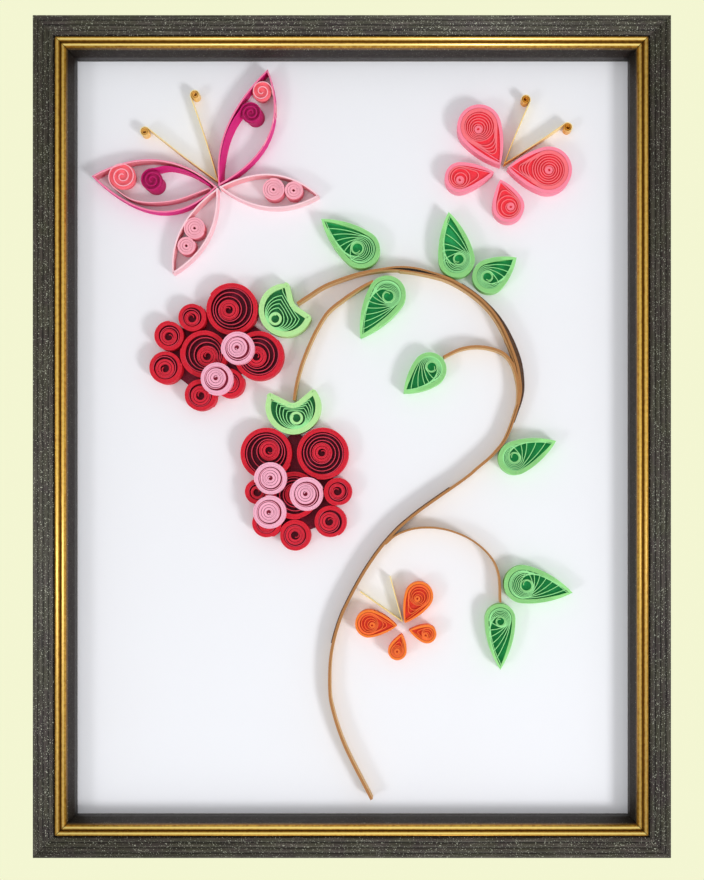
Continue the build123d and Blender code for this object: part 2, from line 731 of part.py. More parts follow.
# Stems: the main one, with a second strip glued under its crest, and three branches
main_route = [stem_foot, place(-2.7, -95.3), place(-6.7, -83.3), place(-7.5, -75.9), place(-7.0, -66.6),
              place(-4.7, -57.2), place(-2.0, -51.9), place(4.0, -39.9), place(10.7, -31.2),
              place(18.7, -23.8), place(34.0, -12.9), place(38.2, -9.4), place(41.8, -6.4),
              place(43.8, -4.3), place(45.9, -1.8), place(47.8, 1.9), place(49.8, 7.7),
              place(51.1, 12.5), place(51.2, 17.0), place(49.7, 24.4), place(45.1, 35.1),
              place(39.1, 42.4), place(30.4, 48.2), place(22.4, 50.7), place(14.2, 51.9),
              place(7.5, 51.4), place(0.2, 49.9), place(-8.4, 46.8), place(-13.5, 43.7),
              place(-17.4, 41.1)]
main_path = smooth(main_route, 6.0)
crest = [point for point in main_path if point[0] > 14 and point[1] > 27]
under_strip = offset_points(crest, stem_paper - glue_bite, False)
stand("main_stem", strip_height, [(band(main_path, stem_paper), Mode.ADD),
                                  (band(under_strip, stem_paper), Mode.ADD)])

lower_route = [place(4.4, 46.8), place(-3.0, 42.6), place(-7.9, 38.6), place(-11.2, 33.5),
               place(-13.7, 28.4), place(-15.9, 22.8), place(-17.5, 17.0), place(-18.4, 11.4)]
stand("berry_branch", strip_height, [(band(smooth(lower_route, 5.0), twig_paper), Mode.ADD)])

leaf_route = [place(49.6, 12.6), place(50.1, 17.0), place(49.0, 22.0), place(46.8, 25.3),
              place(43.2, 27.1), place(38.1, 27.9), place(32.8, 27.1), place(28.3, 25.0)]
stand("leaf_branch", strip_height, [(band(smooth(leaf_route, 4.0), twig_paper), Mode.ADD)])

fork_route = [place(12.4, -30.8), place(20.0, -28.0), place(28.0, -28.4), place(36.0, -31.5),
              place(42.0, -36.6), place(44.7, -42.4), place(45.2, -50.9)]
stand("fork_branch", strip_height, [(band(smooth(fork_route, 5.0), twig_paper), Mode.ADD)])

# Butterfly one, with a pair of curls in each wing
open_wing("butterfly_one_upper_wing", upper_wing,
          wound([place(-40.9, 80.0), place(-39.4, 87.0), place(-36.9, 95.0)],
                place(-31.6, 99.8), 3.6, 175, -1)
          + wound([place(-24.7, 96.5), place(-24.4, 102.0)], place(-28.3, 106.7), 3.1, -5, 1))
open_wing("butterfly_one_left_wing", left_wing,
          wound([place(-44.4, 77.6), place(-47.3, 79.6), place(-51.9, 82.0), place(-57.5, 83.3)],
                place(-62.1, 79.1), 3.8, 80, 1)
          + wound([place(-44.5, 76.6), place(-54.2, 73.1), place(-61.3, 72.5), place(-66.5, 73.3)],
                  place(-71.2, 80.3), 4.6, -75, -1))

right_near_curl = right_wing.against(1, 0.52, 3.45)
right_far_curl = beside(right_near_curl, -3.0, 2.9, gap=-glue_bite - flat_sag)
open_wing("butterfly_one_right_wing", right_wing,
          tight_curl(right_near_curl) + tight_curl(right_far_curl))

lower_near_curl = lower_wing.against(-1, 0.42, 3.4)
lower_far_curl = beside(lower_near_curl, -115.0, 2.9, gap=-glue_bite - flat_sag)
open_wing("butterfly_one_lower_wing", lower_wing,
          tight_curl(lower_near_curl) + tight_curl(lower_far_curl))

feelers("butterfly_one_feelers", place(-41.9, 78.9), [place(-64.5, 94.3), place(-49.0, 105.7)], 1.6)

# Butterfly two, coral, and butterfly three, orange: wings pinched to the middle
coral_wings = {
    "upper_left": (place(45.3, 83.7), Disc(place(38.7, 95.6), 6.9), place(38.4, 94.7), -1),
    "upper_right": (place(47.3, 83.0), Disc(place(60.0, 82.3), 7.3), place(60.1, 82.2), 1),
    "lower_left": (place(43.3, 81.5), Disc(place(32.7, 79.9), 4.75), place(32.7, 79.1), 1),
    "lower_right": (place(45.0, 79.3), Disc(place(47.6, 71.0), 5.0), place(48.3, 70.9), -1)}
for corner, (tip, bulb, eye, side) in coral_wings.items():
    pinched_roll(f"butterfly_two_{corner}_wing", tip, bulb, eye, coral_rim, coral_belly, coral_core,
                 wing_eye, 2, side, 0.7)

orange_wings = {
    "upper_left": (place(13.4, -58.2), Disc(place(4.7, -57.5), 4.4), place(5.7, -57.9), 1),
    "upper_right": (place(15.6, -57.3), Disc(place(20.1, -48.9), 4.5), place(19.6, -49.8), 1),
    "lower_left": (place(14.8, -60.6), Disc(place(13.4, -65.8), 3.0), place(13.4, -66.0), -1),
    "lower_right": (place(17.0, -59.4), Disc(place(22.6, -60.6), 3.0), place(22.1, -61.1), 1)}
for corner, (tip, bulb, eye, side) in orange_wings.items():
    pinched_roll(f"butterfly_three_{corner}_wing", tip, bulb, eye, orange_rim, orange_belly,
                 orange_core, wing_eye, 1, side, 0.8)

feelers("butterfly_two_feelers", place(46.4, 84.4), [place(53.0, 104.2), place(66.0, 95.6)], 1.6)
feelers("butterfly_three_feelers", place(15.0, -56.9), [place(2.0, -47.7), place(11.2, -43.0)], 0.0)

print("frame", round(outer_width, 2), "by", round(outer_height, 2), "opening",
      round(sight_width, 2), "by", round(sight_height, 2))
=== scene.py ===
"""A framed picture of quilled paper: two raspberries, a leafy spray and three butterflies.

Each roll of paper is wound here turn by turn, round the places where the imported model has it.
Places in the picture are (across, up) in millimetres, and angles in its tables are in degrees.
"""
import math
import random

import bmesh
import bpy
from bpy.props import FloatProperty, FloatVectorProperty, PointerProperty
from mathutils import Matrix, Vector, noise


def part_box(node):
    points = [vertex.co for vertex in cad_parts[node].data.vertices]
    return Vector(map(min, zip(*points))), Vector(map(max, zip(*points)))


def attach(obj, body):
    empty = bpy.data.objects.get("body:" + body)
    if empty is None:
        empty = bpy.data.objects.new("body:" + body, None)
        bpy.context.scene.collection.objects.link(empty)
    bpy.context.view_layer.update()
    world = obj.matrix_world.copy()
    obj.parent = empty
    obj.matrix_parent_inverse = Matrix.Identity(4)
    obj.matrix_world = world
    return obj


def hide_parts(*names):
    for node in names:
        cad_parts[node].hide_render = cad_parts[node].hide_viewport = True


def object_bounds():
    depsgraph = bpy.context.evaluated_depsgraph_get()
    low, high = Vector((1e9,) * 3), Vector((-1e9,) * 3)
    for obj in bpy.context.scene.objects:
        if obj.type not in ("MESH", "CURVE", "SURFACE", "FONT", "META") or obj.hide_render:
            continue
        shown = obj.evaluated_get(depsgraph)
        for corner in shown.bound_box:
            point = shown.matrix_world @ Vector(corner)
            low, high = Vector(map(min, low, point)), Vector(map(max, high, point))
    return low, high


bl_info = {
    "name": "Quilled Paper Picture",
    "version": (1, 0, 0),
    "blender": (4, 5, 0),
    "location": "View3D > Sidebar > Quilling",
    "description": "Winds the paper rolls of a framed quilled picture and dresses its frame",
    "category": "Add Mesh",
}

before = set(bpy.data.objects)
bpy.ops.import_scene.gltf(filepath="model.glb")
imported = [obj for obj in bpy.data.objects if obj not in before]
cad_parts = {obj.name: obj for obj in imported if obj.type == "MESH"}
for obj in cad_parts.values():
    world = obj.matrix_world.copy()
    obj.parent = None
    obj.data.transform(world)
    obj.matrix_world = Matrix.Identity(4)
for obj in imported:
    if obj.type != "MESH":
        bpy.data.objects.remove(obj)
cad_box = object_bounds()

MILLI = 0.001
TAU = 2 * math.pi
# How deep a point lies in a roll, which sets the paper's inner colours there, mostly painted shade
OUTSIDE, RIM, CORE, HEART, DEEP = 0.0, 0.3, 0.55, 0.7, 1.0
# Length of the straight pieces of a winding, and their number in a side of a pinched roll
SEGMENT, SIDE_STEPS = 0.6, 14
# How far the paper's cut edges rise and fall, and how many times in about a metre
RIPPLE, RIPPLES = 0.05, 260
# Joints between faces that are flatter than this are shaded smooth
SMOOTH_BELOW = math.radians(38)
# The place in the picture that lies at the middle of the card
CARD_MIDDLE = (-0.5, 0.1)

card_low, card_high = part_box("picture_card")
shift_across = (card_low.x + card_high.x) / 2 / MILLI - CARD_MIDDLE[0]
shift_up = (card_low.z + card_high.z) / 2 / MILLI - CARD_MIDDLE[1]
half_width = (cad_box[1].x - cad_box[0].x) / 2 / MILLI
half_height = (cad_box[1].z - cad_box[0].z) / 2 / MILLI
frame_middle_up = (cad_box[1].z + cad_box[0].z) / 2 / MILLI


# Plane geometry, in millimetres

def polar(point, reach, angle):
    """The place at a reach from a point, along an angle in radians."""
    return (point[0] + reach * math.cos(angle), point[1] + reach * math.sin(angle))


def between(a, b, share):
    """The place a share of the way from a to b."""
    return (a[0] + (b[0] - a[0]) * share, a[1] + (b[1] - a[1]) * share)


def bearing(a, b):
    """Angle of the line from a to b, in radians."""
    return math.atan2(b[1] - a[1], b[0] - a[0])


def span(a, b):
    """Length of the line from a to b."""
    return math.hypot(b[0] - a[0], b[1] - a[1])


def ease(share):
    """A share that starts and ends gently."""
    return share * share * (3 - 2 * share)


def steady(share):
    """A share as it is."""
    return share


def bump_at(point, middle, reach):
    """1 at the middle, falling to 0 a reach away."""
    return ease(max(0.0, 1 - span(point, middle) / reach))


def ring(centre, radius, count):
    """Points round a circle."""
    return [polar(centre, radius, TAU * step / count) for step in range(count)]


def bend(a, knee, b, steps):
    """Points from a to b along a curve that is drawn towards a knee."""
    return [between(between(a, knee, s), between(knee, b, s), s)
            for s in (step / steps for step in range(steps + 1))]


def bowed(a, b, bow, steps):
    """Points from a to b along a shallow arc that bows to the left by a share of its length."""
    knee = polar(between(a, b, 0.5), span(a, b) * bow * 2, bearing(a, b) + math.pi / 2)
    return bend(a, knee, b, steps)


def smooth(points, spacing):
    """Points along a smooth curve through given ones."""
    route = []
    ends = [between(points[1], points[0], 2), *points, between(points[-2], points[-1], 2)]
    for near in zip(ends, ends[1:], ends[2:], ends[3:]):
        steps = max(2, round(span(near[1], near[2]) / spacing))
        for s in (step / steps for step in range(steps)):
            weights = (-s + 2 * s ** 2 - s ** 3, 2 - 5 * s ** 2 + 3 * s ** 3,
                       s + 4 * s ** 2 - 3 * s ** 3, -s ** 2 + s ** 3)
            route.append(tuple(sum(w * p[axis] for w, p in zip(weights, near)) / 2
                               for axis in (0, 1)))
    return route + [points[-1]]


def normals(points, closed):
    """For each point, the way to the left of the path, and how much further at a corner."""
    ways = []
    last = len(points) - 1
    for index, here in enumerate(points):
        before = points[index - 1] if index or closed else here
        after = points[(index + 1) % len(points)] if index < last or closed else here
        into = bearing(before, here) if before != here else bearing(here, after)
        out = bearing(here, after) if after != here else into
        turn = (out - into + math.pi) % TAU - math.pi
        ways.append((into + turn / 2 + math.pi / 2, 1 / max(math.cos(turn / 2), 0.36)))
    return ways


def offset(points, reach):
    """The points of an open path moved to its left by a reach."""
    return [polar(p, reach * mitre, way) for p, (way, mitre) in zip(points, normals(points, False))]


def winding(start_centre, end_centre, start_radius, end_radius, start, sweep, drift=ease,
            bunch=0.0):
    """Points along a spiral whose centre drifts as its radius grows, and whose turns may bunch."""
    points = []
    turned, whole = 0.0, abs(sweep)
    sense = 1 if sweep > 0 else -1
    finest, coarsest = 0.1, 0.5
    while turned < whole:
        share = turned / whole
        radius = start_radius + (end_radius - start_radius) * share
        centre = between(start_centre, end_centre, drift(share))
        radius += bunch * math.sin(turned / 3) * min(1.0, 4 * share, 4 - 4 * share)
        points.append(polar(centre, radius, start + sense * turned))
        turned += min(max(SEGMENT / max(radius, 0.1), finest), coarsest)
    points.append(polar(end_centre, end_radius, start + sweep))
    return points


# Paper on the card

class Sheaf:
    """The strips of paper that make one piece, stood on edge on the card for a node."""

    def __init__(self, node, part=""):
        self.node = node
        self.foot, self.crest = depths_of(node)
        self.mesh = bmesh.new()
        self.inner = self.mesh.verts.layers.float.new("inner")
        self.lift = self.mesh.verts.layers.float.new("lift")
        self.random = random.Random(node + part)

    def stand(self, path, shades=OUTSIDE, sunk=0.0, lean=(0.0, 0.0)):
        """Stand a strip along a path. Shades say how deep in the roll its points lie."""
        if not isinstance(shades, list):
            shades = [shades] * len(path)
        lower = []
        for (x, z), shade in zip(path, shades):
            vert = self.mesh.verts.new(spot(x + lean[0], self.foot, z + lean[1]))
            vert[self.inner] = shade
            lower.append(vert)
        edges = [self.mesh.edges.new(pair) for pair in zip(lower, lower[1:])]
        made = bmesh.ops.extrude_edge_only(self.mesh, edges=edges)["geom"]
        upper = [item for item in made if isinstance(item, bmesh.types.BMVert)]
        height = self.crest - sunk - self.foot
        rise = Vector((-lean[0] * MILLI, -height * MILLI, -lean[1] * MILLI))
        bmesh.ops.translate(self.mesh, verts=upper, vec=rise)
        phase = Vector((self.random.uniform(0, 50), 0, 0))
        for vert in upper:
            vert[self.lift] = 1.0
            vert.co.y += RIPPLE * MILLI * noise.noise(vert.co * RIPPLES + phase)

    def bed(self, outline, level):
        """Lay a floor of painted shade between the turns, at a level in front of the wall."""
        verts = [self.mesh.verts.new(spot(x, level, z)) for x, z in outline]
        for vert in verts:
            vert[self.inner] = DEEP
        edges = [self.mesh.edges.new(pair) for pair in zip(verts, verts[1:] + verts[:1])]
        bmesh.ops.triangle_fill(self.mesh, use_beauty=False, use_dissolve=False, edges=edges)

    def finish(self, name, material, paper):
        """Give the strips their thickness and put the piece in the frame."""
        piece = new_object(f"{self.node}_{name}", self.mesh)
        walls = piece.modifiers.new("paper", "SOLIDIFY")
        walls.thickness = paper * MILLI
        walls.offset = 0
        walls.use_even_offset = False
        settle(piece, [self.node], material)


def spot(x, depth, z):
    """A place in the picture, a depth in front of the wall, as the frame has it."""
    return Vector(((x + shift_across) * MILLI, -depth * MILLI, (z + shift_up) * MILLI))


def new_object(name, shape):
    """An object in the scene, made from a bmesh that it uses up."""
    mesh = bpy.data.meshes.new(name)
    shape.to_mesh(mesh)
    shape.free()
    made = bpy.data.objects.new(name, mesh)
    bpy.context.scene.collection.objects.link(made)
    return made


def settle(piece, nodes, material):
    """Apply a piece's modifiers, smooth its round walls and let it stand for its nodes."""
    depsgraph = bpy.context.evaluated_depsgraph_get()
    made = bpy.data.meshes.new_from_object(piece.evaluated_get(depsgraph))
    piece.modifiers.clear()
    piece.data = made
    made.name = piece.name
    made.shade_smooth()
    made.set_sharp_from_angle(angle=SMOOTH_BELOW)
    made.materials.clear()
    made.materials.append(material)
    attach(piece, "root")
    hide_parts(*nodes)


def dress(node, material):
    """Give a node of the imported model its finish."""
    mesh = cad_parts[node].data
    mesh.materials.clear()
    mesh.materials.append(material)


def depths_of(node):
    """How far a node's foot and its crest stand in front of the wall."""
    low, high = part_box(node)
    return -high.y / MILLI, -low.y / MILLI


def wind(node, roll, material, paper, sunk):
    """Stand a roll for its node, with a floor of painted shade sunk below its edges."""
    path, shades, floor = roll
    sheaf = Sheaf(node)
    sheaf.bed(floor, sheaf.crest - sunk)
    # A berry's middle roll also lays a dark floor of painted shade between the rolls
    if node in berry_shade_floors:
        sheaf.bed(berry_shade_floors[node], sheaf.foot + 0.2)
    sheaf.stand(path, shades)
    sheaf.finish("wound", material, paper)


# Shapes of rolls. Each gives its path, its shades and the outline of its floor of painted shade

def roll_path(centre, radius, rim, eye, core, hole, loose, pitch, angle, sense, bunch):
    """A round roll from its paper end in the eye, through its loose turns, out to its rim."""
    parts = []
    paper_end, inner_rim, outside = hole * 0.45, radius - rim, radius - pitch * 0.4
    for first, last, small, large, turns, bunched in (
            (eye, eye, paper_end, hole, 0.3, 0.0),
            (eye, eye, hole, core, (core - hole) / pitch, bunch),
            (eye, centre, core, inner_rim, loose, 0.0),
            (centre, centre, inner_rim, outside, (rim - pitch / 2) / pitch, bunch / 5)):
        sweep = sense * turns * TAU
        parts.append(winding(first, last, small, large, angle, sweep, bunch=bunched))
        angle += sweep
    end, tight, slack, wrap = parts
    last_turn = round(TAU * radius / 0.8)
    shades = ([CORE] * (len(end) + len(tight) - 2) + [DEEP] * (len(slack) - 1)
              + [RIM if left > last_turn else OUTSIDE for left in range(len(wrap), 0, -1)])
    return end[:-1] + tight[:-1] + slack[:-1] + wrap, shades, ring(centre, radius - 0.6, 40)


def drop_outline(tip, bulb, radius, swell, side):
    """Outline of a roll pinched to one tip, from the tip round the bulb and back."""
    way = bearing(bulb, tip)
    opening = math.acos(radius / span(bulb, tip)) + swell
    legs = []
    for hand in (side, -side):
        shoulder = polar(bulb, radius, way + hand * opening)
        knee = polar(shoulder, span(shoulder, tip) * 0.5, way + hand * (opening - math.pi / 2))
        legs.append(bend(tip, knee, shoulder, SIDE_STEPS)[:-1])
    sweep = TAU - 2 * opening
    count = max(20, round(sweep * radius / SEGMENT))
    head = [polar(bulb, radius, way + side * (opening + sweep * step / count))
            for step in range(count + 1)]
    return legs[0] + head + legs[1][:0:-1]


def wrap_outline(outline, side, turns, pitch, pinch=1.0, pinched=1.0):
    """A strip wound tightly just inside an outline.

    Its turns lie closer where the roll is pinched, within some reach of the outline's first point.
    """
    ways = normals(outline, True)
    path, shades = [], []
    total = len(outline)
    for turn in range(turns):
        for index, (point, (way, mitre)) in enumerate(zip(outline, ways)):
            close = ease(min(span(point, outline[0]) / pinched, 1.0))
            depth = pitch * (0.5 + (turn + index / total) * (pinch + (1 - pinch) * close))
            path.append(polar(point, side * depth * mitre, way))
            shades.append(RIM if turn else OUTSIDE)
    return path, shades, path[-total:]


def wrap_drop(tip, bulb, radius, side, rim, pitch, swell):
    """The tight rim of a roll that is pinched to one tip."""
    outline = drop_outline(tip, bulb, radius, swell, side)
    return wrap_outline(outline, side, round(rim / pitch), pitch, pinch=0.5,
                        pinched=0.6 * span(bulb, tip))


def tangent(point, centre, radius, side):
    """Angle on a round where a line from an outer point touches it."""
    reach = max(span(centre, point), radius * 1.0001)
    return bearing(centre, point) + side * math.acos(radius / reach)


def leaf_path(tip, bulb, radius, eye, loops, side, rim, pitch):
    """A leaf: a tight rim, turns that fan from one side and a core round its eye."""
    path, shades, inner = wrap_drop(tip, bulb, radius, side, rim, pitch, swell=0.32)
    next_in = [polar(p, pitch, way) for p, (way, _) in zip(inner, normals(inner, True))]
    fan = [between(tip, bulb, 0.13)] + [between(a, b, 0.5) for a, b in zip(inner[1:], next_in[1:])]
    core, crowd, fan_reach = 0.34 * radius, 0.16, 0.9
    hole = core - 0.5
    room = radius - rim - pitch
    lean = min(span(bulb, eye), max(room - core - loops * crowd, 0.0))
    middle = polar(bulb, lean, bearing(bulb, eye))
    packed = max(loops - 4, 0)
    bow_out, bow_back = side * -0.06, side * -0.05
    kinks, rounds = [], []
    for turn in range(loops + 1):
        kinks.append(fan[round((turn / loops) ** 0.9 * fan_reach * (SIDE_STEPS + 1))])
        size = room - turn * crowd
        if turn > packed:
            tightest = room - packed * crowd
            size = tightest + (core - tightest) * (turn - packed) / (loops - packed)
        rounds.append((between(bulb, middle, turn / loops), size))
    for start, end, (centre, size), (next_centre, next_size) in zip(
            kinks, kinks[1:], rounds, rounds[1:]):
        leave = tangent(start, centre, size, side)
        arrive = tangent(end, next_centre, next_size, -side)
        sweep = side * ((side * (arrive - leave)) % TAU)
        leg = (bowed(start, polar(centre, size, leave), bow_out, 6)
               + winding(centre, next_centre, size, next_size, leave, sweep, steady)[1:-1]
               + bowed(polar(next_centre, next_size, arrive), end, bow_back, 8))
        path += leg
        shades += [DEEP] * len(leg)
    start = tangent(kinks[-1], middle, core, side)
    sweep = side * (core - hole) / pitch * TAU
    heart = (winding(middle, middle, core, hole, start, sweep)
             + winding(middle, middle, hole, hole * 0.6, start + sweep, side * 0.2 * TAU)[1:])
    return path + heart, shades + [HEART] * len(heart), inner


def wing_path(tip, bulb, radius, eye, loops, side, rim, core, hole, pitch, crowd):
    """A closed wing: a tight rim, bowls nested towards the tip, as many rings, and a core."""
    path, shades, inner = wrap_drop(tip, bulb, radius, side, rim, pitch, swell=0.3)
    room = radius - rim - pitch
    bowls = loops - 2
    bowl_end, ring_end = 0.15, 0.1
    turns = []
    for turn in range(bowls):
        along = 0.27 + 0.62 * turn / bowls
        turns.append((bulb, room - turn * crowd, between(tip, bulb, along),
                      max(along * radius - rim - pitch - turn * crowd, bowl_end)))
    size = room - bowls * crowd
    for turn in range(bowls + 1):
        share = turn / bowls
        turns.append((between(bulb, eye, share), size + (core - size) * share, tip, ring_end))
    marks = []
    for centre, reach, end, blunt in turns:
        way = bearing(centre, tip)
        if end == tip:
            end = polar(centre, reach - blunt, way)
        away = max(span(centre, end), abs(reach - blunt) * 1.0001)
        marks.append((centre, reach, polar(centre, away, way), blunt, way,
                      math.acos((reach - blunt) / away)))
    for (centre, reach, _, _, way, opening), there in zip(marks, marks[1:]):
        next_centre, next_reach, next_end, next_blunt, next_way, next_opening = there
        sweep = TAU - opening - next_opening + side * (next_way - way)
        loop = winding(centre, next_centre, reach, next_reach, way + side * opening, side * sweep,
                       steady)
        if next_opening >= 0.05:
            loop += winding(next_end, next_end, next_blunt, next_blunt,
                            next_way - side * next_opening, side * 2 * next_opening)
        path += loop
        shades += [DEEP] * len(loop)
    heart = winding(eye, eye, core, hole, marks[-1][4], side * (core - hole) / pitch * TAU)
    return path + heart, shades + [HEART] * len(heart), inner


# Materials

def srgb(colour):
    """A colour as it looks, as the light that it stands for."""
    light = (c / 12.92 if c <= 0.04045 else ((c + 0.055) / 1.055) ** 2.4 for c in colour)
    return (*light, 1.0)


def arithmetic(operation):
    """A method that adds the Math node of an operation."""
    return lambda *signals: signals[0].tree.add("ShaderNodeMath", {"operation": operation},
                                                dict(enumerate(signals)))


class Signal:
    """What a node gives out. Arithmetic on it adds the nodes that the sum needs."""

    def __init__(self, tree, socket):
        self.tree = tree
        self.socket = socket

    __add__ = __radd__ = arithmetic("ADD")
    __mul__ = __rmul__ = arithmetic("MULTIPLY")
    __sub__ = arithmetic("SUBTRACT")
    __pow__ = arithmetic("POWER")
    __abs__ = arithmetic("ABSOLUTE")
    wave = arithmetic("SINE")
    least = arithmetic("MINIMUM")
    most = arithmetic("MAXIMUM")

    def __rsub__(self, other):
        return self.tree.add("ShaderNodeMath", {"operation": "SUBTRACT"}, {0: other, 1: self})

    def step(self, low, high):
        """0 below low, 1 above high, and smooth between. Low may be the larger."""
        return self.tree.add("ShaderNodeMapRange", {"interpolation_type": "SMOOTHSTEP"},
                             {"Value": self, "From Min": low, "From Max": high})


class Tree:
    """The nodes of a material or of the world."""

    def __init__(self, owner):
        owner.use_nodes = True
        self.nodes = owner.node_tree.nodes
        self.links = owner.node_tree.links

    def add(self, kind, settings=None, values=None, output=0):
        """A node of one type, with its settings and then the values or links of its sockets."""
        node = self.nodes.new(kind)
        for key, value in (settings or {}).items():
            setattr(node, key, value)
        for key, value in (values or {}).items():
            self.feed(node.inputs[key], value)
        return Signal(self, node.outputs[output])

    def feed(self, socket, value):
        """Give a socket a value or link a signal to it."""
        if isinstance(value, Signal):
            self.links.new(value.socket, socket)
        else:
            socket.default_value = value

    def ray(self, kind):
        """1 for light of this kind."""
        return self.add("ShaderNodeLightPath", output=f"Is {kind} Ray")


class Recipe(Tree):
    """One material and the nodes that colour it."""

    def __init__(self, name, roughness, specular):
        self.material = bpy.data.materials.new(name)
        super().__init__(self.material)
        self.shader = self.nodes["Principled BSDF"]
        self.feed(self.shader.inputs["Roughness"], roughness)
        self.feed(self.shader.inputs["Specular IOR Level"], specular)
        self.place = self.add("ShaderNodeVectorMath", {"operation": "SCALE"},
                              {0: self.add("ShaderNodeTexCoord", output="Object"),
                               "Scale": 1 / MILLI})
        self.x, self.z = (self.add("ShaderNodeSeparateXYZ", {}, {0: self.place}, axis)
                          for axis in "XZ")

    def mix(self, factor, first, second):
        """A colour between two, which may each be a colour as it looks or a signal."""
        first, second = (c if isinstance(c, Signal) else srgb(c) for c in (first, second))
        return self.add("ShaderNodeMix", {"data_type": "RGBA", "clamp_factor": True},
                        {0: factor, 6: first, 7: second}, output=2)

    def noise(self, scale, detail=2.0, roughness=0.5, stretch=None):
        """Noise, which may be stretched along the axes for grain."""
        place = self.place
        if stretch:
            place = self.add("ShaderNodeMapping", {}, {"Vector": place, "Scale": stretch})
        return self.add("ShaderNodeTexNoise", {}, {"Vector": place, "Scale": scale,
                                                   "Detail": detail, "Roughness": roughness})

    def own(self, name):
        """The piece's own value of this name, from its mesh."""
        return self.add("ShaderNodeAttribute", {"attribute_name": name}, output="Fac")

    def backward(self):
        """How far the surface faces away from the picture's front."""
        normal = self.add("ShaderNodeNewGeometry", output="Normal")
        return self.add("ShaderNodeSeparateXYZ", {}, {0: normal}, output="Y")

    def bump(self, height, strength, distance):
        """Roughen the surface by a height, over a distance in millimetres."""
        normal = self.add("ShaderNodeBump", {}, {"Strength": strength, "Height": height,
                                                 "Distance": distance * MILLI})
        self.feed(self.shader.inputs["Normal"], normal)

    def paint(self, **values):
        """Feed the shader, and give back the material."""
        names = {"colour": "Base Color", "roughness": "Roughness", "metal": "Metallic"}
        for key, value in values.items():
            self.feed(self.shader.inputs[names[key]], value)
        return self.material


def quilling_paper(name, wall, crest, inner_wall, inner_crest, deep, sink):
    """Paper strips: edges and walls in their own colours, and painted shade between the turns."""
    rough = 0.62
    r = Recipe(name, rough, specular=0.2)
    inner = r.own("inner")
    sunk = 1 - r.own("lift")
    top = (r.backward() * -1).step(0.35, 0.8) * r.own("lift").step(0.4, 0.8)
    # Walls of the inner turns take the inner wall colour, darker on most papers: painted shade
    # among the turns
    walls = r.mix(inner, wall, inner_wall)
    # Lower down between the turns, walls and floors darken towards the deep colour: painted shade
    walls = r.mix((inner.step(0.2, 0.8) * sunk ** 0.45) * sink, walls, deep)
    # Cut edges of inner turns take the inner crest colour: painted shade where darker, a paler
    # painted highlight on the raspberry paper
    edges = r.mix(inner.step(0.35, 1.0), crest, inner_crest)
    colour = r.mix(top, walls, edges)
    fibre = r.noise(2.6, 3.0, 0.6)
    colour = r.mix(fibre.step(0.35, 0.75) * 0.06, colour, r.mix(0.5, colour, (1, 1, 1)))
    blotch = r.noise(0.35, 1.0)
    colour = r.mix(blotch.step(0.4, 0.75) * 0.10, colour, r.mix(0.35, colour, (0, 0, 0)))
    r.bump(r.noise(5.0, 2.0, 0.7), 0.35, 0.06)
    return r.paint(colour=colour, roughness=fibre.step(0.2, 0.9) * 0.2 + rough - 0.1)


